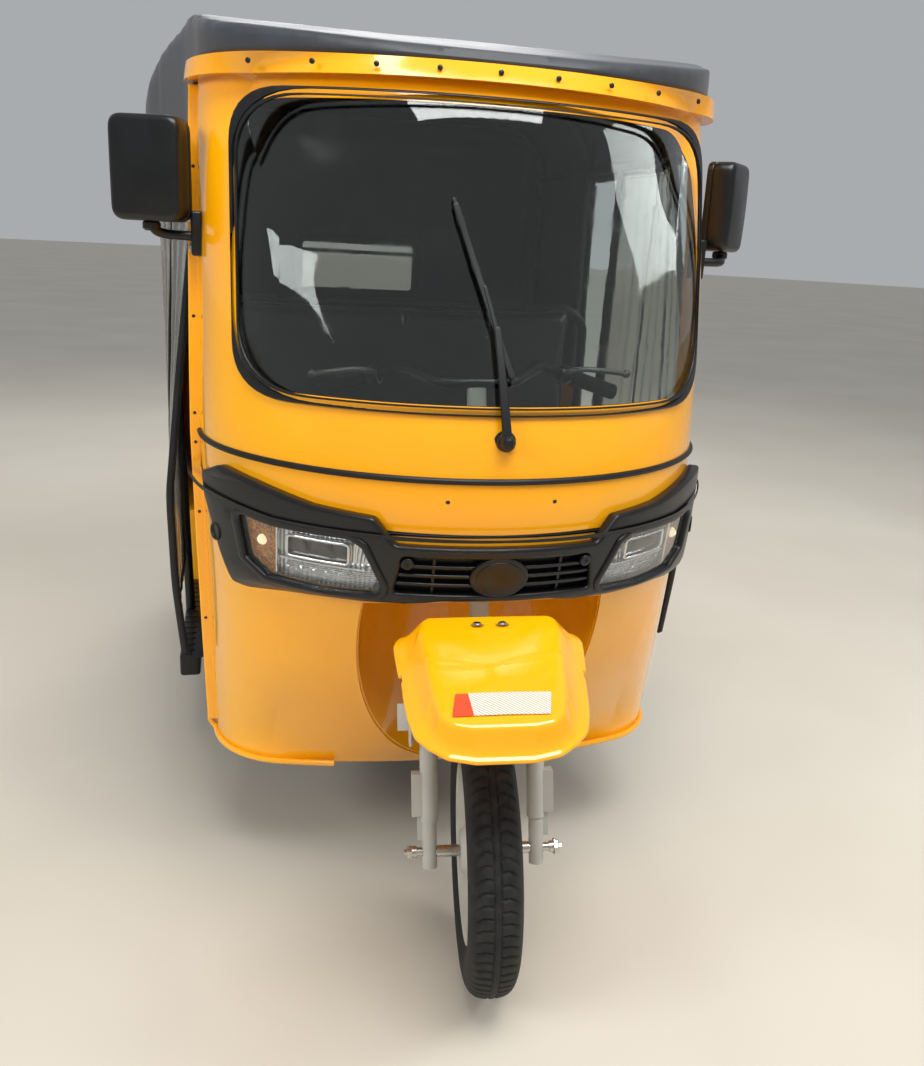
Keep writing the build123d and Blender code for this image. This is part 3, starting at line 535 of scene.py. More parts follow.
def turned(kind, centre, axis):
    # a profile spun round an axis
    steps, profile = turnedForms[kind]
    count = len(profile)
    places = [(r, 0, a) for r, a in millimetres(profile)]
    piece = addMesh("profile", places, [(i, i + 1) for i in range(count - 1)], [])
    activate(piece)
    bpy.ops.object.mode_set(mode="EDIT")
    bpy.ops.mesh.select_all(action="SELECT")
    bpy.ops.mesh.spin(steps=steps, angle=2 * math.pi, center=(0, 0, 0), axis=(0, 0, 1))
    bpy.ops.object.mode_set(mode="OBJECT")
    closeUp(piece)
    turn = Vector((0, 0, 1)).rotation_difference(Vector(axis)).to_matrix()
    moveAll(piece, lambda p: turn @ p + Vector(centre))
    return piece


def roundedBlock(low, high, radius, segments=3):
    # a block between two corners, every edge rounded
    deselectAll()
    bpy.ops.mesh.primitive_cube_add(size=1, location=(0, 0, 0))
    piece = bpy.context.object
    low, high = Vector(low), Vector(high)
    moveAll(piece, lambda p: Vector([low[i] + (p[i] + 0.5) * (high[i] - low[i]) for i in range(3)]))
    applyModifier(piece, "BEVEL", width=radius, segments=segments, limit_method="NONE")
    closeUp(piece, 40)
    return piece


# The cowl's face in plan is three arcs: height, half width, rear edge, share of the corner arc
cowlPlan = [(0.290, 0.500, 0.500, 0.80), (0.520, 0.508, 0.495, 0.82), (0.760, 0.515, 0.490, 0.85),
            (0.975, 0.520, 0.488, 0.86), (1.120, 0.518, 0.488, 0.85), (1.380, 0.513, 0.498, 0.82),
            (1.664, 0.506, 0.548, 0.80)]


def noseTable():
    # how far back the cowl's nose stands at each centimetre of height, felt from the front
    found = []
    for k in range(30, 165):
        z = k / 100
        best = None
        for name in ("front_cowl", "windscreen_glass", "wheel_well"):
            hit, place, normal, index = nodes[name].ray_cast(Vector((0.03, -3, z)), Vector((0, 1, 0)))
            if hit and (best is None or place.y < best):
                best = place.y
        found.append((z, best - frontAxleY))
    return found


noses = noseTable()


def noseAt(z):
    step = min(max((z - noses[0][0]) / 0.01, 0), len(noses) - 1.001)
    low = int(step)
    return noses[low][1] + (step - low) * (noses[low + 1][1] - noses[low][1])


def onCowl(x, z, out, reference=0.0):
    # the point "out" from the cowl's skin, on the plan normal through (x, z) at the reference stand
    half, rear, share = between(cowlPlan, z)
    deep = rear - noseAt(z)
    a, b, small = half + reference, deep + reference, deep * share + reference
    large = (a * a + b * b - 2 * a * small) / (2 * (b - small))
    sideways, beyond = a - small, large - b
    knee = sideways + small * math.cos(math.atan2(beyond, sideways))
    across = min(abs(x), a - 0.0001)
    sign = -1 if x < 0 else 1
    if across <= knee:
        back = rear + beyond - math.sqrt(large * large - across * across)
        normal = Vector((across / large, (back - rear - beyond) / large))
    else:
        back = rear - math.sqrt(max(small * small - (across - sideways) ** 2, 0))
        normal = Vector(((across - sideways) / small, (back - rear) / small))
    step = out - reference
    return spot(back + normal.y * step, sign * (across + normal.x * step), z)


def layOnCowl(piece, reference):
    # a flat plate bent to the cowl: x and z stay, its depth becomes the stand from the skin
    moveAll(piece, lambda p: onCowl(p.x, p.z, p.y, reference))
    closeUp(piece, 32)


# Headlamp mask with its grille

maskForm = {
    "stand": 0.026, "edge": 0.0065, "corner": 0.013, "ringWide": 0.013, "ringStand": 0.031, "longest": 0.028,
    "outline": [(0, 860), (186, 860), (224, 907), (330, 916), (430, 938), (488, 948), (520, 922), (515, 875),
                (488, 779), (464, 714), (400, 698), (300, 699), (208, 711), (158, 741), (100, 752), (0, 753)],
    "lamp": [(450, 872), (390, 863), (262, 864), (240, 850), (202, 772), (212, 759), (300, 755), (398, 760),
             (435, 788)],
    "grille": {"half": 0.184, "low": 0.767, "high": 0.838, "taper": 0.012, "bars": 3, "bar": 0.007,
               "posts": (-0.118, 0.118), "post": 0.003},
    "disc": {"wide": 0.054, "high": 0.041, "level": 0.802},
    "boss": (0.163, 0.827, 0.011), "recess": (0.491, 0.815),
}
lampOutline = roundCorners(millimetres(maskForm["lamp"]), 0.012)
lampOutlineOther = mirrored(lampOutline)


def makeMask():
    form, grille, disc = maskForm, maskForm["grille"], maskForm["disc"]
    stand, longest = form["stand"], form["longest"]
    half, low, high, taper = [grille[k] for k in ("half", "low", "high", "taper")]
    outline = roundCorners(bothSides(millimetres(form["outline"])), form["corner"])
    opening = roundCorners([(-half, low), (half, low), (half - taper, high), (-half + taper, high)], 0.008)
    holes = [lampOutline, lampOutlineOther]
    parts = [plateFrom([outline, *holes, opening], 0.0004, stand, form["edge"], longest)]
    for hole in holes:
        ring = [grown(hole, form["ringWide"]), grown(hole, -0.0005)]
        parts.append(plateFrom(ring, 0.002, form["ringStand"], 0.0055, longest))
    parts.append(plateFrom([grown(opening, 0.004)], 0.0004, 0.006, 0.001, 0.03))
    pitch, thick, post = (high - low) / (grille["bars"] + 1), grille["bar"] / 2, grille["post"]
    for row in range(grille["bars"]):
        level = low + (row + 1) * pitch
        parts.append(plateFrom([rectangle(-half, level - thick, half, level + thick)], 0.004, 0.019, 0.0022,
                               0.03, 2))
    for x in grille["posts"]:
        parts.append(plateFrom([rectangle(x - post, low, x + post, high)], 0.004, 0.016, 0.0015, 0.03, 2))
    for scale, foot, top, bevel in ((1.0, 0.006, 0.026, 0.004), (0.8, 0.024, 0.0278, 0.0016)):
        ring = ellipse(0, disc["level"], disc["wide"] * scale, disc["high"] * scale, 56)
        parts.append(plateFrom([ring], foot, top, bevel, 0.024))
    bossX, bossZ, bossWide = form["boss"]
    for x in (-bossX, bossX):
        parts.append(plateFrom([ellipse(x, bossZ, bossWide, bossWide, 24)], 0.02, stand + 0.003, 0.002, 0.01))
    mask = joinAll(parts)
    layOnCowl(mask, stand)
    finishPiece(mask, "headlampMask", "root", "black_plastic", mouldedPlastic, replaces=["headlamp_mask"])
    # a dark round screw recess at each outer corner, and a screw on each boss
    x, z = form["recess"]
    for side, word in sides:
        centre = onCowl(side * x, z, stand + 0.0012, stand)
        outwards = (onCowl(side * x, z, stand + 0.02, stand) - centre).normalized()
        finishPiece(turned("screwRecess", centre, outwards), "maskRecess" + word, "root", "black_plastic",
                    sealRubber)
        screw = turned("maskScrew", onCowl(side * bossX, bossZ, stand + 0.003, stand), (0, -1, 0))
        finishPiece(screw, "maskScrew" + word, "root", "black_plastic", blackPaint)


lampForm = {
    # the silver steps, the projector frame with its two eyes, the row of small lights and the amber cell
    "steps": {"count": 9, "low": 0.766, "pitch": 0.0038, "high": 0.0024, "from": 0.222, "to": 0.372},
    "frame": (0.262, 0.806, 0.374, 0.852), "eyes": (0.296, 0.34), "eyeLevel": 0.829,
    "bars": [(0.236, 0.385, 0.7995, 0.8035, 0.0125), (0.386, 0.3895, 0.762, 0.862, 0.0165)],
    "slats": {"count": 8, "from": 0.214, "pitch": 0.0055, "wide": 0.0032, "low": 0.812,
              "high": (0.836, 0.856), "tallFrom": 0.232},
    "lights": {"count": 6, "from": 0.262, "pitch": 0.0215, "level": 0.7895},
    "amber": [(391.5, 762), (398, 763), (432.5, 790), (446.5, 868), (391.5, 860.5)], "bulb": (0.415, 0.826),
}


def makeLampInsides(side, word):
    # silver bucket with a projector frame, a row of small lights, an amber cell and a clear lens
    form, stand = lampForm, maskForm["stand"]
    outline = lampOutline if side > 0 else lampOutlineOther

    def lay(piece, name, material):
        layOnCowl(piece, stand)
        return finishPiece(piece, name + word, "root", "lamp_lens", material)

    def bar(x0, x1, z0, z1, high, edge=0.001):
        return plateFrom([rectangle(side * x0, z0, side * x1, z1)], 0.003, high, edge, 0.024, 1)

    lay(plateFrom([grown(outline, -0.0015)], 0.0006, 0.0035, 0.0008, 0.024, 1), "lampBack", reflectorSilver)
    steps, slats, lights = form["steps"], form["slats"], form["lights"]
    bits = []
    for k in range(steps["count"]):
        z = steps["low"] + k * steps["pitch"]
        x, stands = steps["from"] - k * 0.001, 0.006 + 0.0012 * (k % 2)
        bits.append(bar(x, steps["to"], z, z + steps["high"], stands, 0.0006))
    x0, z0, x1, z1 = form["frame"]
    frameOutline = roundCorners(rectangle(side * x0, z0, side * x1, z1), 0.012)
    bits.append(plateFrom([frameOutline, grown(frameOutline, -0.006)], 0.003, 0.0165, 0.0024, 0.012))
    bits += [bar(*sizes) for sizes in form["bars"]]
    for k in range(slats["count"]):
        x = slats["from"] + k * slats["pitch"]
        bits.append(bar(x, x + slats["wide"], slats["low"], slats["high"][x > slats["tallFrom"]],
                        0.007, 0.0006))
    lay(joinAll(bits), "lampChrome", chromeReflector)
    lay(plateFrom([grown(frameOutline, -0.0062)], 0.002, 0.0075, 0.0015, 0.012), "lampProjector", smokedGlass)
    eyes = [turned("projectorEye", onCowl(side * x, form["eyeLevel"], 0.0085, stand), (0, -1, 0))
            for x in form["eyes"]]
    for k in range(lights["count"]):
        centre = onCowl(side * (lights["from"] + k * lights["pitch"]), lights["level"], 0.0075, stand)
        eyes.append(turned("smallLight", centre, (0, -1, 0)))
    glow = joinAll(eyes)
    closeUp(glow)
    finishPiece(glow, "lampLights" + word, "root", "lamp_lens", lampLens)
    cell = roundCorners([(side * x, z) for x, z in millimetres(form["amber"])], 0.006)
    lay(plateFrom([cell], 0.003, 0.010, 0.002, 0.008), "lampAmber", amberPlastic)
    bulb = turned("amberBulb", onCowl(side * form["bulb"][0], form["bulb"][1], 0.011, stand), (0, -1, 0))
    finishPiece(bulb, "lampAmberBulb" + word, "root", "lamp_lens", amberBulb)
    cover = plateFrom([grown(outline, -0.0008)], 0.0185, 0.0205, 0.0006, 0.02, 1)
    lens = lay(cover, "lampLensCover", lampLens)
    if side > 0:
        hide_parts("headlamps")


makeMask()
for lampSide, lampWord in reversed(sides):
    makeLampInsides(lampSide, lampWord)
print("mask and lamps made")


# Tyres with a block tread, cut by curved side grooves

tyreForm = {
    "radius": 0.2595, "bead": 0.1607, "pitches": 74, "perPitch": 8, "groove": 0.0040, "grooveWide": 0.0032,
    "tread": 0.036, "crown": 0.016, "sweep": 0.35, "rib": (0.0065, 0.0014, 0.8), "centreBand": 0.008,
    # half the section from the centre of the tread to the bead: across, drop from the full radius
    "section": [(0, 0), (6, 0.2), (12, 0.8), (18, 1.8), (23, 3.2), (28, 5.2), (32, 7.7), (35.5, 10.6),
                (38.5, 14.2), (41.2, 18.5), (43.6, 23.5), (45.5, 29), (46.8, 35.5), (47.6, 43), (47.4, 51),
                (46.2, 60), (44, 69), (41.2, 77), (38.5, 84), (36.2, 89.5), (35.2, 93.5)],
    "foot": (0.033, 0.029),
}


def tyreRing():
    full, bead = tyreForm["radius"], tyreForm["bead"]
    half = [(x, full - drop) for x, drop in millimetres(tyreForm["section"])]
    half += [(x, bead) for x in tyreForm["foot"]]
    fine = []
    for (x0, r0), (x1, r1) in zip(half, half[1:]):
        pieces = 2 if r0 > full - 0.0142 else 1
        for k in range(pieces):
            fine.append((x0 + (x1 - x0) * k / pieces, r0 + (r1 - r0) * k / pieces))
    fine.append(half[-1])
    return [(-x, r) for x, r in reversed(fine[1:])] + fine


def treadDepth(turn, across):
    # 1 at the bottom of a groove, 0 on a block
    form = tyreForm
    tread, wide = form["tread"], form["grooveWide"]
    far = abs(across)
    if far > tread + 0.004:
        return 0.0
    ribAt, ribWide, ribDeep = form["rib"]
    rib = math.exp(-((far - ribAt) / ribWide) ** 2) * ribDeep
    sweep = form["sweep"] * math.sin(math.pi * min(far / tread, 1) * 1.1)
    along = (turn * form["pitches"] / (2 * math.pi) + (0.5 if across > 0 else 0) + sweep) % 1.0
    miss = abs(along - 0.5) * 2 * math.pi * form["radius"] / form["pitches"]
    groove = max(0.0, min(1.0, (wide - miss) / (wide * 0.55)))
    fade = 1.0 if far > form["centreBand"] else 0.0
    if far > tread - 0.004:
        fade *= max(0.0, (tread + 0.004 - far) / 0.008)
    return max(groove * fade, rib)


def wheelAxes(axis):
    # a wheel's axle, and two directions square to it
    axis = Vector(axis).normalized()
    level = Vector((0, 0, 1)).cross(axis).normalized()
    return axis, level, axis.cross(level)


def wheelPlace(rim):
    low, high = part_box(rim)
    return (low + high) / 2


def makeTyre(name, body, node, rim, outwards):
    form, ring, centre = tyreForm, tyreRing(), wheelPlace(rim)
    around, count = form["pitches"] * form["perPitch"], len(ring)
    axis, level, up = wheelAxes(outwards)
    places, faces = [], []
    for k in range(around):
        turn = 2 * math.pi * k / around
        outward = level * math.cos(turn) + up * math.sin(turn)
        for across, radius in ring:
            if radius > form["radius"] - form["crown"]:
                radius -= form["groove"] * treadDepth(turn, across)
            places.append(centre + axis * across + outward * radius)
        a, b = k * count, ((k + 1) % around) * count
        for i in range(count):
            j = (i + 1) % count
            faces.append((a + i, a + j, b + j, b + i))
    piece = addMesh(name, places, [], faces)
    closeUp(piece, 50)
    return finishPiece(piece, name, body, "tyre", tyreRubber, replaces=[node])


steerTurn = math.radians(-8.0)      # how the parked steering leaves the front wheel
columnLean = math.radians(16.0)
columnUp = Vector((0, math.sin(columnLean), math.cos(columnLean)))
columnBack = Vector((0, math.cos(columnLean), -math.sin(columnLean)))
columnFoot = spot(0.02307, 0, 0.25338)


def aboutColumn(vector, turn=steerTurn):
    return Matrix.Rotation(turn, 3, columnUp) @ Vector(vector)


makeTyre("rearTyreTreadLeft", "rear_wheel_left", "rear_tyre_left", "rear_rim_left", (1, 0, 0))
makeTyre("rearTyreTreadRight", "rear_wheel_right", "rear_tyre_right", "rear_rim_right", (-1, 0, 0))
makeTyre("frontTyreTread", "front_wheel", "front_tyre", "front_rim", aboutColumn((1, 0, 0)))
print("tyres made")


# Steering pieces are drawn straight ahead and then turned with the parked bars

def steered(place):
    return columnFoot + aboutColumn(place - columnFoot)


def onColumn(x, back, level):
    return steered(columnFoot + Vector((x, 0, 0)) + columnBack * back + columnUp * level)


def ringSkin(name, rings, capLast=True):
    # a skin over closed rings that have the same number of points
    count = len(rings[0])
    places = [p for ring in rings for p in ring]
    faces = []
    for k in range(len(rings) - 1):
        for i in range(count):
            j = (i + 1) % count
            faces.append((k * count + i, k * count + j, (k + 1) * count + j, (k + 1) * count + i))
    if capLast:
        places.append(sum((Vector(p) for p in rings[-1]), Vector()) / count)
        last = (len(rings) - 1) * count
        faces += [(last + i, last + (i + 1) % count, len(places) - 1) for i in range(count)]
    piece = addMesh(name, places, [], faces)
    closeUp(piece)
    return piece


guardForm = {
    "level": 0.700, "slope": 0.3, "sheet": 0.0025, "corner": 0.024, "middle": -0.145, "openFrom": -0.02,
    "base": [(45, -282), (86, -272), (112, -252), (131, -230), (140, -193), (152, -98), (162, -8)],
    "crown": [(50, -269), (82, -262), (99, -240), (106, -195), (114, -110), (122, -40), (112, -8)],
    # each ring: its share of the way from base to crown, how far it stands out, its rise
    "rings": [(0, 0.0075, -0.003), (0, 0.0085, 0.0), (0, 0.0075, 0.003), (0, 0.0025, 0.0045),
              (0, 0.0, 0.0075), (0.3, 0, 0.0135), (0.6, 0, 0.027), (0.8, 0, 0.036), (0.93, 0, 0.0418),
              (1, -0.003, 0.0446), (1, -0.009, 0.0458)],
    "top": [(0.8, 0.0475), (0.5, 0.0488), (0.2, 0.0494)],
    "stripe": [(-0.080, -0.250), (0.074, -0.250), (0.082, -0.202), (-0.072, -0.202)],
    "bolts": [(-0.022, -0.035), (0.022, -0.035)],
}


def guardPlace(x, back, rise):
    return steered(spot(back, x, guardForm["level"] + guardForm["slope"] * back + rise))


def makeMudguard():
    form, middle = guardForm, guardForm["middle"]
    base, crown = [roundCorners(bothSides(millimetres(form[k])), form["corner"], 5)
                   for k in ("base", "crown")]
    rings = []
    for share, grow, rise in form["rings"]:
        outline = [(b[0] * (1 - share) + c[0] * share, b[1] * (1 - share) + c[1] * share)
                   for b, c in zip(base, crown)]
        rings.append([guardPlace(x, back, rise) for x, back in grown(outline, grow)])
    for shrink, rise in form["top"]:
        rings.append([guardPlace(x * shrink, middle + (back - middle) * shrink, rise)
                      for x, back in grown(crown, -0.009)])
    guard = ringSkin("guard", rings)

    def rearWall(centre, normal):
        straight = columnFoot + aboutColumn(centre - columnFoot, -steerTurn)
        return straight.y - frontAxleY > form["openFrom"] and aboutColumn(normal, -steerTurn).y > 0.75

    dropFaces(guard, rearWall)
    applyModifier(guard, "SUBSURF", levels=1, render_levels=1)
    applyModifier(guard, "SOLIDIFY", thickness=form["sheet"], offset=-1.0)
    bpy.ops.object.shade_smooth_by_angle(angle=math.radians(50))
    finishPiece(guard, "mudguardPressing", "steering", "yellow_paint", yellowEnamel,
                replaces=["front_mudguard"])
    # a plain hatch stripe near the nose, and the bolts that hold the guard to its bracket
    stripe = plateFrom([roundCorners(form["stripe"], 0.002)], 0.0, 0.0006, 0.0002, 0.02)
    moveAll(stripe, lambda p: guardPlace(p.x, p.z, 0.0478 + p.y + 0.0012 * (1 - abs(p.x) / 0.08)))
    closeUp(stripe)
    finishPiece(stripe, "mudguardStripe", "steering", "yellow_paint", hatchFilm)
    for k, (x, back) in enumerate(form["bolts"]):
        head = turned("guardBolt", guardPlace(x, back, 0.048), columnUp)
        finishPiece(head, "mudguardBolt" + str(k), "steering", "zinc_plate", zincPlate)


forkForm = {"plate": 0.136, "low": 0.205, "high": 0.395, "arms": (0.24, 0.36), "arm": 0.118,
            "bolts": (0.246, 0.366), "nut": 0.138, "lip": 0.016}


def makeForkPlates():
    # a bent grey plate outside each leg, held by two arms and bolts, and the nut on the front axle
    form = forkForm
    low, high = form["low"], form["high"]
    for side, word in sides:
        x, arm = side * form["plate"], side * form["arm"]
        lip0, lip1 = (x - form["lip"], x) if side > 0 else (x, x + form["lip"])
        blocks = [roundedBlock((x - 0.003, -0.047, low), (x + 0.003, -0.003, high), 0.0022),
                  roundedBlock((lip0, -0.006, low), (lip1, -0.001, high), 0.0018)]
        blocks += [roundedBlock((arm - 0.018, -0.042, z), (arm + 0.020, -0.008, z + 0.012), 0.002)
                   for z in form["arms"]]
        whole = joinAll(blocks)
        moveAll(whole, lambda p: onColumn(*p))
        finishPiece(whole, "forkPlate" + word, "steering", "grey_fork_paint", greyPaint)
        outwards = aboutColumn((side, 0, 0))
        bolts = [turned("plateBolt", onColumn(side * 0.139, -0.025, z), outwards) for z in form["bolts"]]
        finishPiece(joinAll(bolts), "forkPlateBolts" + word, "steering", "zinc_plate", zincPlate)
        nut = turned("axleNut", wheelPlace("front_rim") + aboutColumn((side * form["nut"], 0, 0)), outwards)
        finishPiece(nut, "frontAxleNut" + word, "steering", "zinc_plate", zincPlate)


mirrorForm = {
    "wide": 0.138, "high": 0.184, "deep": 0.056, "corner": 0.026, "edge": 0.012, "level": 1.467,
    # each head: degrees turned, distance out from the centre, distance behind the front axle
    "heads": {"Right": (18.0, 0.597, 0.440), "Left": (48.0, 0.598, 0.516)},
    "foot": {"back": 0.455, "out": 0.516, "low": 1.316, "high": 1.398}, "bolts": (1.331, 1.384),
}


def makeMirror(side, word):
    form, foot = mirrorForm, mirrorForm["foot"]
    turn, across, back = form["heads"][word]
    wide, high, deep = form["wide"] / 2, form["high"] / 2, form["deep"]
    footBack, footOut = foot["back"], foot["out"]
    outline = roundCorners(rectangle(-wide, -high, wide, high), form["corner"])

    def domed(p):
        bulge = 0.008 * math.cos(p.x / wide * 1.4) * math.cos(p.z / high * 1.4) if p.y < 0 else 0
        return Vector((p.x * (1 - 1.4 * max(-p.y, 0)), p.y - bulge, p.z))

    shell = plateFrom([outline], -deep / 2, deep / 2 - 0.006, form["edge"], 0.02, 5)
    moveAll(shell, domed)
    rim = plateFrom([outline, grown(outline, -0.007)], deep / 2 - 0.012, deep / 2 + 0.001, 0.003, 0.02)
    glass = plateFrom([grown(outline, -0.0072)], deep / 2 - 0.0065, deep / 2 - 0.0035, 0.001, 0.03)
    centre = spot(back, side * across, form["level"])
    spin = Matrix.Rotation(math.radians(side * turn), 3, "Z")
    for part in (shell, rim, glass):
        moveAll(part, lambda p: centre + spin @ p)
        closeUp(part)
    neck = turned("mirrorNeck", centre + Vector((0, 0, -high - 0.017)), (0, 0, 1))
    arm = tubeAlong([spot(footBack, side * footOut, 1.352), spot(footBack, side * 0.548, 1.352),
                     spot(footBack + (back - footBack) * 0.1, side * 0.578, 1.353),
                     spot(back, side * across, 1.362), spot(back, side * across, 1.379)], 0.009)
    block = roundedBlock(spot(footBack - 0.019, side * footOut - 0.011, foot["low"]),
                         spot(footBack + 0.019, side * footOut + 0.011, foot["high"]), 0.005)
    finishPiece(joinAll([shell, rim, neck, arm, block]), "mirrorHead" + word, "root", "black_plastic",
                mouldedPlastic, replaces=["mirror_" + word.lower()])
    finishPiece(glass, "mirrorGlass" + word, "root", "black_plastic", chromeReflector)
    heads = [turned("mirrorBolt", spot(footBack, side * 0.528, z), (side, 0, 0)) for z in form["bolts"]]
    finishPiece(joinAll(heads), "mirrorBolts" + word, "root", "zinc_plate", zincPlate)


makeMudguard()
makeForkPlates()
for mirrorSide, mirrorWord in sides:
    makeMirror(mirrorSide, mirrorWord)
print("mudguard, fork plates and mirrors made")


# Windscreen seal, belt strip, wiper, cowl flange

sealForm = {"half": 0.441, "low": 1.101, "high": 1.594, "corner": 0.085, "wide": 0.016, "bead": 0.004}


def makeSeal():
    # a round-edged seal with a raised bead; the two outlines of each differ only in their corners
    form = sealForm
    half, low, high, corner = [form[k] for k in ("half", "low", "high", "corner")]

    def ring(out):
        frameCorners = rectangle(-half - out, low - out, half + out, high + out)
        return [roundCorners(frameCorners, (corner + grow) * 1.35, 9) for grow in (out, -out)]

    seal = plateFrom(ring(form["wide"]), 0.0005, 0.009, 0.0040, 0.032)
    bead = plateFrom(ring(form["bead"]), 0.006, 0.0125, 0.003, 0.032, 2)
    whole = joinAll([seal, bead])
    layOnCowl(whole, 0.009)
    finishPiece(whole, "windscreenGasket", "root", "seal_rubber", sealRubber, replaces=["windscreen_seal"])


def makeBeltStrip():
    points = [onCowl(0.5195 * math.sin(math.radians(a)), 0.975, 0.0022) for a in range(-90, 91, 5)]
    strip = tubeAlong(points, 0.0058)
    closeUp(strip, 60)
    finishPiece(strip, "beltStrip", "root", "seal_rubber", sealRubber, replaces=["trim_strip"])


def barOutline(start, end, widthStart, widthEnd):
    along = (Vector(end) - Vector(start)).normalized()
    across = Vector((-along.y, along.x))
    corners = [Vector(start) + across * widthStart, Vector(start) - across * widthStart,
               Vector(end) - across * widthEnd, Vector(end) + across * widthEnd]
    return roundCorners([tuple(c) for c in corners], min(widthStart, widthEnd) * 0.9)


wiperForm = {
    # start, end, half width at each, stand from the skin low and high, edge, rounds
    "bars": [((0.0, 1.043), (-0.014, 1.235), 0.0085, 0.006, 0.014, 0.021, 0.0025, 3),
             ((-0.012, 1.215), (-0.034, 1.300), 0.0042, 0.0035, 0.014, 0.020, 0.0018, 2),
             ((-0.082, 1.432), (0.010, 1.150), 0.0055, 0.0055, 0.0135, 0.0185, 0.002, 2),
             ((-0.084, 1.440), (0.013, 1.140), 0.0032, 0.0032, 0.0098, 0.0138, 0.001, 2)],
    "claws": (0.12, 0.37, 0.63, 0.88), "bladeTop": (-0.084, 1.440), "bladeRun": (0.097, 0.300),
    "hub": (0.0, 1.043),
}


def makeWiper():
    form = wiperForm
    (topX, topZ), (runX, runZ) = form["bladeTop"], form["bladeRun"]
    bits = [plateFrom([barOutline(start, end, wide0, wide1)], low, high, edge, 0.03, rounds)
            for start, end, wide0, wide1, low, high, edge, rounds in form["bars"]]
    for k in form["claws"]:
        x, z = topX + runX * k, topZ - runZ * k
        claw = barOutline((x - 0.004, z + 0.010), (x + 0.004, z - 0.012), 0.0066, 0.0066)
        bits.append(plateFrom([claw], 0.0108, 0.0175, 0.0015, 0.012))
    wiper = joinAll(bits)
    layOnCowl(wiper, 0.014)
    hub = turned("wiperHub", onCowl(*form["hub"], 0.0), (0, -1, 0.12))
    finishPiece(joinAll([wiper, hub]), "wiperArmAndBlade", "root", "black_plastic", blackPaint,
                replaces=["wiper"])


flangeForm = {
    "low": 0.315, "high": 1.628, "steps": 40, "studs": (0.560, 0.800, 0.948, 1.008, 1.200, 1.480),
    "section": [(-1.5, -16), (1.2, -16), (1.6, -8.5), (4, -5.5), (19, -4.5), (21.5, -2.5), (20.5, -0.5),
                (18, 0.5), (-1.5, 0.5)],
}


def makeCowlFlange():
    # a pressed flange with a crease along the cowl's rear edge, and a row of studs on it
    form, section = flangeForm, millimetres(flangeForm["section"])
    for side, word in sides:
        rings = []
        for k in range(form["steps"] + 1):
            z = form["low"] + k * (form["high"] - form["low"]) / form["steps"]
            half, rear = between(cowlPlan, z)[:2]
            rings.append([spot(rear + back, side * (half + x), z) for x, back in section])
        flange = ringSkin("flange", rings, False)
        activate(flange)
        bpy.ops.object.mode_set(mode="EDIT")
        bpy.ops.mesh.select_mode(type="EDGE")
        bpy.ops.mesh.select_all(action="DESELECT")
        bpy.ops.mesh.select_non_manifold()
        bpy.ops.mesh.edge_face_add()
        bpy.ops.object.mode_set(mode="OBJECT")
        closeUp(flange, 30)
        finishPiece(flange, "cowlFlange" + word, "root", "yellow_paint", yellowEnamel)
        studs = []
        for z in form["studs"]:
            half, rear = between(cowlPlan, z)[:2]
            studs.append(turned("flangeStud", spot(rear - 0.0048, side * (half + 0.0115), z), (0, -1, 0)))
        finishPiece(joinAll(studs), "cowlFlangeStuds" + word, "root", "zinc_plate", blackPaint)


lipForm = {"half": 0.4999, "level": 0.2915, "wire": 0.0065, "turns": range(31, 91, 4),
           "corner": [(0.5035, 0.5045, 0.2925), (0.504, 0.5135, 0.300), (0.5035, 0.5185, 0.315)]}


def makeCowlLip():
    # the pressing's foot is rolled round a wire, and meets the flange at each corner
    form = lipForm
    for side, word in sides:
        points = [onCowl(side * form["half"] * math.sin(math.radians(a)), form["level"], 0.0035)
                  for a in form["turns"]]
        points += [spot(back, side * x, z) for back, x, z in form["corner"]]
        lip = tubeAlong(points, form["wire"])
        closeUp(lip, 60)
        finishPiece(lip, "cowlLip" + word, "root", "yellow_paint", yellowEnamel)


def makeFacePlugs():
    # the two mounting holes in the face each hold a small dark plug
    for side, word in sides:
        plug = turned("facePlug", onCowl(side * 0.096, 0.938, 0.0002), (0, -1, 0))
        finishPiece(plug, "facePlug" + word, "root", "black_plastic", sealRubber)


makeSeal()
makeBeltStrip()
makeWiper()
makeCowlFlange()
makeCowlLip()
makeFacePlugs()
print("seal, strip, wiper and flange made")


# Floor with its steps: each plate is its low corner, its high corner (back, x, z) and its edge

deckForm = {
    "plates": [((0.522, -0.494, 0.300), (0.872, 0.494, 0.306), 0.002),
               ((0.868, -0.572, 0.300), (1.469, 0.572, 0.306), 0.002)],
    "ribs": {"count": 25, "from": -0.468, "pitch": 0.039, "half": 0.0055},
    "rearPlate": ((1.245, -0.5, 0.305), (1.445, 0.5, 0.308), 0.001),
    "step": {"inner": 0.552, "outer": 0.603, "treadInner": 0.566, "treadOuter": 0.600, "treads": 14,
             "from": 0.90, "pitch": 0.04, "long": 0.012},
}


def makeFloorPan():
    form, ribs, step = deckForm, deckForm["ribs"], deckForm["step"]

    def block(low, high, edge, segments=2):
        return roundedBlock(spot(*low), spot(*high), edge, segments)

    deck = [block(*sizes) for sizes in form["plates"]]
    for k in range(ribs["count"]):
        x = ribs["from"] + k * ribs["pitch"]
        deck.append(block((0.66, x - ribs["half"], 0.3045), (1.235, x + ribs["half"], 0.3085), 0.0018))
    deck.append(block(*form["rearPlate"]))
    for side in (-1, 1):
        inner, outer = sorted((side * step["inner"], side * step["outer"]))
        deck.append(block((0.874, inner, 0.246), (1.469, outer, 0.3055), 0.008, 3))
        inner, outer = sorted((side * step["treadInner"], side * step["treadOuter"]))
        for k in range(step["treads"]):
            back = step["from"] + k * step["pitch"]
            deck.append(block((back, inner, 0.3035), (back + step["long"], outer, 0.3075), 0.0015))
    finishPiece(joinAll(deck), "floorWithSteps", "root", "black_frame_paint", blackPaint,
                replaces=["floor_pan"])


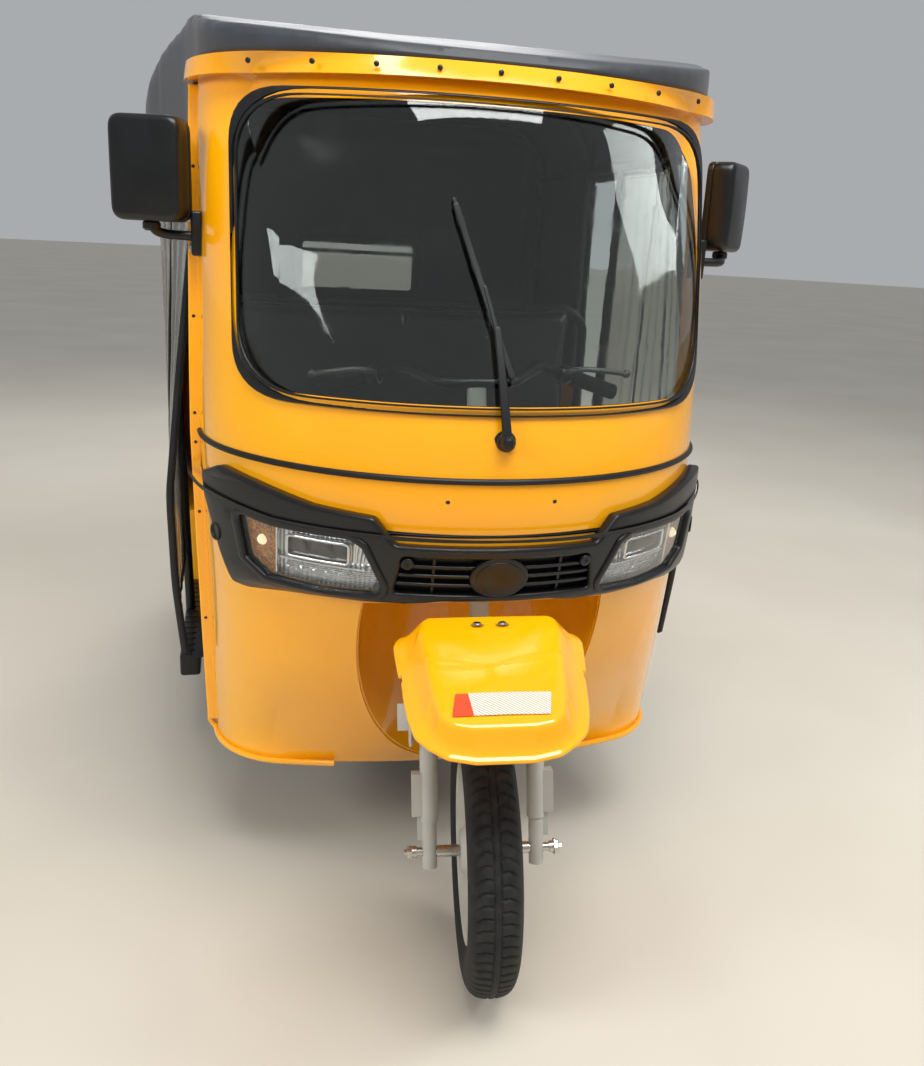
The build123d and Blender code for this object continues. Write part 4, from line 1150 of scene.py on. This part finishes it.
makeFloorPan()
print("floor made")


# Soft goods: the hood, its window, the side curtains and the four pads

hoodForm = {
    "crown": 1.800, "half": 0.645, "shoulder": 0.17, "camber": 0.03, "skirt": 1.560, "doorwayRear": 1.500,
    "low": 0.9455, "frontRoom": 1.6645, "grain": 0.017, "sag": 0.009, "window": (0.220, 1.155, 1.345),
    "bows": (0.25, 0.56, 0.96, 1.51, 2.02, 2.22),
    "side": [(240, 800), (240, 1686), (420, 1728), (640, 1770), (900, 1800), (2050, 1788), (2235, 1690),
             (2315, 925), (2315, 800)],
    "flank": [(0.54, 0.66), (0.60, 0.84), (0.632, 0.93), (0.645, 1.0)],
    "doorwayEdge": [(0.575, 0.515), (0.66, 0.539), (0.84, 0.598), (0.93, 0.629), (1.0, 0.6415), (1.25, 0.643),
                    (1.49, 0.643)],
}


def prism(outline, order, low, high):
    # a straight block over an outline, which the order turns into places
    count = len(outline)
    places = [order(u, v, low) for u, v in outline] + [order(u, v, high) for u, v in outline]
    faces = [tuple(range(count)), tuple(range(2 * count - 1, count - 1, -1))]
    faces += [(i, i + count, (i + 1) % count + count, (i + 1) % count) for i in range(count)]
    piece = addMesh("prism", places, [], faces)
    closeUp(piece, 20)
    return piece


def hoodSolid():
    # the hood's three outlines, from the side, the end and above, taken together
    form, s0 = hoodForm, frontAxleY
    half, top, shoulder, camber = [form[k] for k in ("half", "crown", "shoulder", "camber")]
    side = [(s0 + back / 1000, z / 1000) for back, z in form["side"]]
    sideBlock = prism(side, lambda u, v, w: Vector((w, u, v)), -0.8, 0.8)
    end = [(half, 0.7)]
    for k in range(13):
        a = k * math.pi / 24
        end.append((half - shoulder * (1 - math.cos(a)), top - camber - shoulder * (1 - math.sin(a))))
    for k in range(1, 12):
        x = (half - shoulder) * (1 - k / 6)
        end.append((x, top - camber * (x / (half - shoulder)) ** 2))
    end += [(-x, z) for x, z in reversed(end[:13])] + [(-half, 0.7)]
    endBlock = prism(end, lambda u, v, w: Vector((u, w, v)), s0 + 0.1, s0 + 2.5)
    plan = []
    for k in range(-18, 19):
        place = onCowl(0.5149 * math.sin(k * math.pi / 36), 1.655, 0.009)
        plan.append((place.x, min(place.y, s0 + 0.56)))
    flank = [(x, s0 + back) for x, back in form["flank"]]
    rear = [(half, s0 + 1.4), (half, s0 + 2.315), (-half, s0 + 2.315), (-half, s0 + 1.4)]
    plan += flank + [p for p in roundCorners(rear, 0.13, 8) if p[1] > s0 + 1.45]
    plan += [(-x, y) for x, y in reversed(flank)]
    planBlock = prism(plan, lambda u, v, w: Vector((u, v, w)), 0.6, 2.0)
    for other in (endBlock, planBlock):
        applyModifier(sideBlock, "BOOLEAN", operation="INTERSECT", object=other, solver="EXACT")
        bpy.data.objects.remove(other)
    return sideBlock


def backOf(z):
    return 2.235 + (1.690 - z) * 0.080 / 0.765


def windowOutline():
    half, low, high = hoodForm["window"]
    return roundCorners(rectangle(-half, low, half, high), 0.03, 6)


def makeHood():
    form, s0 = hoodForm, frontAxleY
    hood = hoodSolid()
    activate(hood)
    hood.data.remesh_voxel_size = form["grain"]
    bpy.ops.object.voxel_remesh()
    applyModifier(hood, "SMOOTH", factor=0.5, iterations=6)
    rear, skirt, foot, room = s0 + form["doorwayRear"], form["skirt"], form["low"], form["frontRoom"]
    half, low, high = form["window"]

    def nearWindow(c, n):
        return c.y > s0 + 2.2 and abs(c.x) < 0.26 and 1.1 < c.z < 1.4

    cutPlane(hood, (0, 0, skirt), (0, 0, 1), lambda c, n: c.y < rear + 0.03)
    cutPlane(hood, (0, rear, 0), (0, 1, 0), lambda c, n: c.z < skirt + 0.03)
    cutPlane(hood, (0, 0, foot), (0, 0, 1), lambda c, n: c.z < foot + 0.1)
    cutPlane(hood, (0, 0, room), (0, 0, 1), lambda c, n: c.y < s0 + 0.6 and abs(c.x) < 0.56)
    for x in (-half, half):
        cutPlane(hood, (x, 0, 0), (1, 0, 0), nearWindow)
    for z in (low, high):
        cutPlane(hood, (0, 0, z), (0, 0, 1), nearWindow)
    dropFaces(hood, lambda c, n: (c.y < rear and c.z < skirt) or c.z < foot
              or (c.y < s0 + 0.5605 and abs(c.x) < 0.56 and c.z < room)
              or (c.y > s0 + 2.2 and abs(c.x) < half and low < c.z < high))
    bows = form["bows"]

    def sagged(p):
        # the cloth hangs a little between the bows and creases at random
        back = p.y - s0
        drop = 0.0
        for first, second in zip(bows, bows[1:]):
            if first <= back < second:
                drop = form["sag"] * math.sin(math.pi * (back - first) / (second - first)) ** 2
        upward = min(max((p.z - 1.70) / 0.06, 0), 1)
        wave = noise.noise(Vector((p.x * 3.1, back * 5.2, p.z * 3.7))) * 0.0035
        fold = noise.noise(Vector((p.x * 9 + back * 7, back * 2.0, p.z * 14))) * 0.0012
        onFlank = abs(p.x) > 0.6
        inward = Vector((-math.copysign(1, p.x) if onFlank else 0, -1 if back > 2.24 else 0, 0))
        flank = drop * 0.5 * (1 - upward) if onFlank else 0.0
        hung = p - Vector((0, 0, drop * upward)) + inward * (abs(wave) + flank * 0.6)
        return hung - Vector((0, 0, abs(fold + wave) * upward))

    moveAll(hood, sagged)
    closeUp(hood, 60)
    applyModifier(hood, "SOLIDIFY", thickness=0.0025, offset=-1.0)
    bpy.ops.object.shade_smooth()
    finishPiece(hood, "hoodSheet", "root", "hood_leatherette", hoodLeatherette, replaces=["canopy"])
    # bound edges: along the doorways, up the quarter panels, round the rear window and the foot
    bindings = []
    for side in (-1, 1):
        for run in ([spot(back, side * x, skirt + 0.003) for back, x in form["doorwayEdge"]],
                    [spot(1.5025, side * 0.6425, z / 100) for z in range(95, 157, 6)],
                    [spot(back / 100, side * 0.6435, 0.949) for back in range(150, 219, 6)]):
            bindings.append(tubeAlong(run, 0.0055, sides=2))
    window = windowOutline()
    bar = barOutline((-half - 0.004, 1.302), (half + 0.004, 1.302), 0.007, 0.007)
    frameOutlines = [grown(window, 0.016), grown(window, -0.014)]
    for outlines, sizes, stand in ((frameOutlines, (0.003, 0.0016, 0.02), 0.0015),
                                   ([bar], (0.002, 0.0015, 0.03), 0.0005)):
        hem = plateFrom(outlines, -0.004, *sizes)
        moveAll(hem, lambda p: spot(backOf(p.z) - stand + p.y, p.x, p.z))
        closeUp(hem)
        bindings.append(hem)
    binding = joinAll(bindings)
    finishPiece(binding, "hoodBindings", "root", "seal_rubber", edgeTape)


def makeRearFilm():
    film = plateFrom([grown(windowOutline(), 0.006)], -0.0006, 0.0006, 0.0002, 0.018, 1)
    moveAll(film, lambda p: spot(backOf(p.z) - 0.004 + p.y
                                 + 0.0022 * noise.noise(Vector((p.x * 14, p.z * 9, 2.0))), p.x, p.z))
    closeUp(film, 60)
    finishPiece(film, "rearWindowFilm", "root", "clear_film", clearFilm, replaces=["rear_window"])


curtainForm = {
    # the front edge by height: distance behind the front axle, distance out
    "front": [(0.46, 0.5475, 0.570), (0.62, 0.542, 0.585), (0.82, 0.542, 0.590), (1.10, 0.552, 0.560),
              (1.325, 0.562, 0.533), (1.573, 0.586, 0.494)],
    "knee": 0.602, "rear": 1.186, "top": 1.573, "low": 0.46, "pleats": 9, "pleat": 0.0055, "crumple": 0.006,
}


def curtainPlace(side, u, v):
    # u runs from the front edge to the rear, v from the foot to the top
    form = curtainForm
    z = form["low"] + v * (form["top"] - form["low"])
    backFront, across = between(form["front"], z)
    back = backFront + u * (form["rear"] - backFront)
    wide = across + (form["knee"] + 0.012 * v - across) * min(1, u / 0.55) ** 0.8
    wander = 2.2 * noise.noise(Vector((u * 3, v * 2.5, side)))
    pleat = form["pleat"] * math.sin(u * 2 * math.pi * form["pleats"] + wander) * (0.35 + 0.65 * v)
    crumple = form["crumple"] * noise.noise(Vector((u * 7, v * 9, side * 3.0)))
    crumple *= (1 - v) * math.sin(math.pi * u)
    return spot(back, side * (wide + pleat * math.sin(math.pi * min(u * 1.15, 1)) + crumple), z)


def makeCurtain(side, word):
    deselectAll()
    bpy.ops.mesh.primitive_grid_add(x_subdivisions=110, y_subdivisions=60, size=1)
    sheet = bpy.context.object
    moveAll(sheet, lambda p: curtainPlace(side, p.x + 0.5, p.y + 0.5))
    closeUp(sheet, 70)
    applyModifier(sheet, "SOLIDIFY", thickness=0.0008, offset=0.0)
    bpy.ops.object.shade_smooth()
    finishPiece(sheet, "curtainFilm" + word, "root", "clear_film", clearFilm,
                replaces=["side_curtains"] if side > 0 else [])
    steps = [k / 30 for k in range(31)]
    edges = [tubeAlong([curtainPlace(side, 0, v) for v in steps], 0.0085, sides=2),
             tubeAlong([curtainPlace(side, u, 0) for u in steps], 0.0065, sides=2),
             tubeAlong([curtainPlace(side, 1, v) for v in steps], 0.0065, sides=2),
             tubeAlong([curtainPlace(side, k / 90, 0.995) for k in range(91)], 0.0065, sides=2)]
    for u in (0.30, 0.62):
        seam = [curtainPlace(side, u, v) + Vector((side * 0.004, 0, 0)) for v in steps]
        edges.append(tubeAlong(seam, 0.0032))
    edge = joinAll(edges)
    finishPiece(edge, "curtainEdge" + word, "root", "seal_rubber", edgeTape)


padForms = {
    # piece: replaced node, the way it faces, sewn channels, fill
    "driverSeatPad": {"node": "driver_cushion", "faces": "up", "channels": 3, "fill": 0.8},
    "driverBackPad": {"node": "driver_backrest", "faces": "front", "channels": 4, "fill": 0.75},
    "rearSeatPad": {"node": "rear_cushion", "faces": "up", "channels": 4, "fill": 0.8},
    "rearBackPad": {"node": "rear_backrest", "faces": "front", "channels": 5, "fill": 0.75},
}
clothForm = {"voxel": 0.013, "pressure": 4.0, "quality": 4, "frames": 20, "mostSwell": 0.024}
seamForm = {"crown": 0.010, "deep": 0.009, "wide": 0.0075, "crease": 0.0015, "piping": 0.0032}


def clamped(place, low, high, room):
    for axis in range(3):
        place[axis] = min(max(place[axis], low[axis] + room), high[axis] - room)
    return place


def puffed(base):
    # a cushion cover blown up a little by cloth pressure, never by more than the form allows
    form, scene = clothForm, bpy.context.scene
    activate(base)
    base.data.remesh_voxel_size = form["voxel"]
    bpy.ops.object.voxel_remesh()
    rest = [v.co.copy() for v in base.data.vertices]
    cloth = base.modifiers.new("cloth", "CLOTH")
    cloth.settings.use_pressure = True
    cloth.settings.uniform_pressure_force = form["pressure"]
    cloth.settings.effector_weights.gravity = 0.0
    cloth.settings.quality = form["quality"]
    cloth.point_cache.frame_start = 1
    cloth.point_cache.frame_end = form["frames"]
    for step in range(1, form["frames"] + 1):
        scene.frame_set(step)
    activate(base)
    bpy.ops.object.modifier_apply(modifier=cloth.name)
    scene.frame_set(1)
    most = form["mostSwell"]
    for vertex in base.data.vertices:
        start = rest[vertex.index]
        move = vertex.co - start
        if move.length > most:
            vertex.co = start + move * most / move.length
    applyModifier(base, "SUBSURF", levels=1, render_levels=1)


def makePad(name, form):
    low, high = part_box(form["node"])
    middle, size = (low + high) / 2, high - low
    channels, seams = form["channels"], seamForm
    up = form["faces"] == "up"
    v = 1 if up else 2      # the axis that runs up the pad's face, beside X
    if up:
        base = roundedBlock(low + Vector((0.012, 0.012, 0)), high - Vector((0.012, 0.012, 0.010)), 0.020, 4)
    else:
        base = roundedBlock(low + Vector((0.012, 0.010, 0.012)), high - Vector((0.012, 0, 0.012)), 0.020, 4)
    puffed(base)

    def shaped(p):
        across = (p.x - middle.x) / size.x * 2
        face = (p.z - low.z) / size.z if up else (high.y - p.y) / size.y
        other = (p[v] - middle[v]) / size[v] * 2
        crown = seams["crown"] * max(1 - across * across, 0) * max(1 - other * other, 0) * max(face, 0)
        seam = 0.0
        for k in range(1, channels):
            offset = (across + 1) / 2 - k / channels
            seam += math.exp(-(offset * size.x / seams["wide"]) ** 2)
        seam *= seams["deep"] * max(min((face - 0.55) * 4, 1), 0) * max(min((1 - abs(other)) * 6, 1), 0)
        crease = seams["crease"] * noise.noise(p * 14) * face
        out = Vector((0, 0, 1)) if up else Vector((0, -1, 0))
        return clamped(p + out * (crown - seam + crease), low, high, 0.0006)

    moveAll(base, shaped)
    bpy.ops.object.shade_smooth()
    finishPiece(base, name, "root", "seat_leatherette", seatLeatherette, replaces=[form["node"]])
    # piping round the rim of the face, laid on the pad where a ray from outside finds it
    inset = 0.006
    level = low.z + size.z * 0.72 if up else low.y + size.y * 0.28

    def onFace(x, other):
        return Vector((x, other, level)) if up else Vector((x, level, other))

    rim = rectangle(low.x + inset, low[v] + inset, high.x - inset, high[v] - inset)
    loop = [Vector(p) for p in roundCorners(rim, 0.035, 8)]
    path = []
    for first, second in zip(loop, loop[1:] + loop[:1]):
        pieces = max(1, int((second - first).length / 0.03))
        for k in range(pieces):
            place = onFace(*first.lerp(second, k / pieces))
            inward = onFace(middle.x, middle[v]) - place
            inward.x = inward.x * size[v] / size.x
            inward.normalize()
            hit, found, normal, index = base.ray_cast(place - inward * 0.05, inward)
            if hit:
                path.append(found - inward * 0.0008)
    cord = tubeAlong(path, seams["piping"], closed=True, sides=3)
    moveAll(cord, lambda p: clamped(p, low, high, -0.002))
    finishPiece(cord, name + "Piping", "root", "seat_leatherette", edgeTape)


makeHood()
makeRearFilm()
for curtainSide, curtainWord in reversed(sides):
    makeCurtain(curtainSide, curtainWord)
for padName, padForm in padForms.items():
    makePad(padName, padForm)
print("soft goods made")


# Small fittings

nutForm = {"count": 4, "first": 22.5, "ring": 0.078, "stand": 0.0045, "valveTurn": 67.5,
           "valve": [(0.010, 0.133), (0.030, 0.126), (0.048, 0.121)], "stem": 0.0042}


def makeWheelNuts(word, body, rim, outwards):
    form, centre = nutForm, wheelPlace(rim)
    axis, level, up = wheelAxes(outwards)

    def turnedTo(degrees):
        a = math.radians(degrees)
        return level * math.cos(a) + up * math.sin(a)

    seat = centre + axis * form["stand"]
    nuts = [turned("wheelNut", seat + turnedTo(form["first"] + 90 * k) * form["ring"], axis)
            for k in range(form["count"])]
    out = turnedTo(form["valveTurn"])
    stem = tubeAlong([centre + axis * along + out * away for along, away in form["valve"]], form["stem"])
    finishPiece(joinAll(nuts), "wheelNuts" + word, body, "zinc_plate", zincPlate)
    finishPiece(stem, "valveStem" + word, body, "seal_rubber", sealRubber)


def makeVisorRivets():
    rivets = []
    for k in range(-4, 5):
        place = onCowl(k * 0.105, 1.648, 0.0262, 0.026)
        out = (onCowl(k * 0.105, 1.648, 0.05, 0.026) - place).normalized()
        rivets.append(turned("visorRivet", place, out))
    finishPiece(joinAll(rivets), "visorRivets", "root", "zinc_plate", blackPaint)


leverForm = {
    # across, behind the column, up the column
    "lever": [(0.196, 0.128, 0.930), (0.214, 0.098, 0.932), (0.245, 0.088, 0.930), (0.290, 0.096, 0.926),
              (0.318, 0.106, 0.924)],
    "knob": (0.319, 0.1065, 0.924), "clamp": (0.194, 0.137, 0.926), "thick": 0.0055,
}


def makeLevers():
    # a clutch and a brake lever ahead of the grips, each on its clamp round the bar
    form = leverForm
    for side, word in sides:
        def onBar(place):
            return onColumn(side * place[0], *place[1:])

        lever = tubeAlong([onBar(place) for place in form["lever"]], form["thick"])
        knob = turned("leverKnob", onBar(form["knob"]), aboutColumn((side, 0.3, 0)))
        finishPiece(joinAll([lever, knob]), "barLever" + word, "steering", "zinc_plate", castAluminium)
        clamp = turned("leverClamp", onBar(form["clamp"]), aboutColumn((side * 0.9, 0.42, 0)))
        finishPiece(clamp, "leverClamp" + word, "steering", "black_plastic", mouldedPlastic)


tailForm = {"out": 0.440, "half": 0.040, "low": 0.600, "high": 0.760, "corner": 0.013, "back": 2.3152,
            "bars": (0.652, 0.706), "barHalf": 0.036, "barThick": 0.0016}


def makeTailLampTrim():
    # a dark rim and two cross bars over each tail lamp
    form, half, thick = tailForm, tailForm["barHalf"], tailForm["barThick"]
    for side, word in sides:
        x = side * form["out"]
        outline = roundCorners(rectangle(x - form["half"], form["low"], x + form["half"], form["high"]),
                               form["corner"])
        parts = [plateFrom([grown(outline, 0.006), grown(outline, -0.0005)], 0.0, 0.014, 0.003, 0.03)]
        for z in form["bars"]:
            bar = rectangle(x - half, z - thick, x + half, z + thick)
            parts.append(plateFrom([bar], 0.028, 0.0335, 0.0007, 0.03))
        trim = joinAll(parts)
        moveAll(trim, lambda p: spot(form["back"] + p.y, p.x, p.z))
        closeUp(trim)
        finishPiece(trim, "tailLampTrim" + word, "root", "black_plastic", mouldedPlastic)


makeWheelNuts("Left", "rear_wheel_left", "rear_rim_left", (1, 0, 0))
makeWheelNuts("Right", "rear_wheel_right", "rear_rim_right", (-1, 0, 0))
makeWheelNuts("Front", "front_wheel", "front_rim", aboutColumn((1, 0, 0)))
makeVisorRivets()
makeLevers()
makeTailLampTrim()
print("small fittings made")


# Floor, light and camera

def makeFloor():
    # a wide pale floor that runs off to the horizon
    deselectAll()
    bpy.ops.mesh.primitive_circle_add(vertices=96, radius=60, fill_type="NGON", location=(0, 0, 0))
    stage = bpy.context.object
    stage.name = "studioFloor"
    bpy.ops.object.mode_set(mode="EDIT")
    bpy.ops.mesh.select_all(action="SELECT")
    bpy.ops.mesh.inset(thickness=30)
    bpy.ops.object.mode_set(mode="OBJECT")
    material, tree, shader, where = startMaterial("studioFloorPaint", {"Roughness": 0.42})
    blotch = addNode(tree, "TexNoise", {"Scale": 0.8, "Detail": 3.0}, {"Vector": where})
    drive(shader, blotch.outputs["Fac"], ("#C6BEAF", "#D0C9BB"))
    stage.data.materials.append(material)


lightForm = {
    "sky": "#DDE0E3", "skyStrength": 0.55, "seenInGlass": ("overheadPanel", "rearPanel"),
    # name: place, aimed at, size, power
    "panels": {
        "overheadPanel": ((0.3, -2.6, 4.6), (0, -0.6, 0.6), 3.2, 190),
        "leftPanel": ((-4.2, -2.8, 3.2), (0, -0.4, 0.9), 2.2, 120),
        "rightPanel": ((4.4, -1.2, 3.4), (0, 0, 0.9), 2.2, 90),
        "rearPanel": ((0.5, 4.6, 4.2), (0, 0.6, 1.0), 2.6, 110),
    },
}


def makeLight():
    form = lightForm
    world = bpy.context.scene.world or bpy.data.worlds.new("studio")
    bpy.context.scene.world = world
    world.use_nodes = True
    background = world.node_tree.nodes["Background"]
    background.inputs["Color"].default_value = linear(form["sky"])
    background.inputs["Strength"].default_value = form["skyStrength"]
    for name, (place, target, size, power) in form["panels"].items():
        light = bpy.data.lights.new(name, "AREA")
        light.shape = "RECTANGLE"
        light.size = size
        light.size_y = size * 0.6
        light.energy = power
        holder = bpy.data.objects.new(name, light)
        bpy.context.scene.collection.objects.link(holder)
        holder.location = place
        holder.visible_glossy = name in form["seenInGlass"]
        holder.rotation_euler = (Vector(target) - Vector(place)).to_track_quat("-Z", "Y").to_euler()


shot = {
    # solved from the floor tiles and the vehicle's known lines: metres, degrees, then pixels of the photo
    "x": -0.444, "ahead": 1.575, "z": 1.376, "yaw": 13.87, "pitch": 16.6, "roll": 3.11,
    "focalPixels": 987.0, "frameWide": 924.0, "frameHigh": 1066.0, "middleX": 473.9, "middleY": 532.7,
}


def makeCamera():
    data = bpy.data.cameras.new("photoCamera")
    data.sensor_width = 36.0
    data.lens = 36.0 * shot["focalPixels"] / shot["frameHigh"]
    data.shift_x = -(shot["middleX"] - shot["frameWide"] / 2) / shot["frameHigh"]
    data.shift_y = (shot["middleY"] - shot["frameHigh"] / 2) / shot["frameHigh"]
    camera = bpy.data.objects.new("photoCamera", data)
    bpy.context.scene.collection.objects.link(camera)
    yaw, pitch, roll = [math.radians(shot[k]) for k in ("yaw", "pitch", "roll")]
    ahead = Vector((math.sin(yaw) * math.cos(pitch), math.cos(yaw) * math.cos(pitch), -math.sin(pitch)))
    level = Vector((math.cos(yaw), -math.sin(yaw), 0))
    above = level.cross(ahead)
    right = level * math.cos(roll) + above * math.sin(roll)
    up = above * math.cos(roll) - level * math.sin(roll)
    facing = Matrix((right, up, -ahead)).transposed().to_4x4()
    camera.matrix_world = Matrix.Translation(spot(-shot["ahead"], shot["x"], shot["z"])) @ facing
    bpy.context.scene.camera = camera


makeFloor()
makeLight()
makeCamera()
bpy.context.scene.view_settings.view_transform = "Standard"
print("floor, light and camera set")
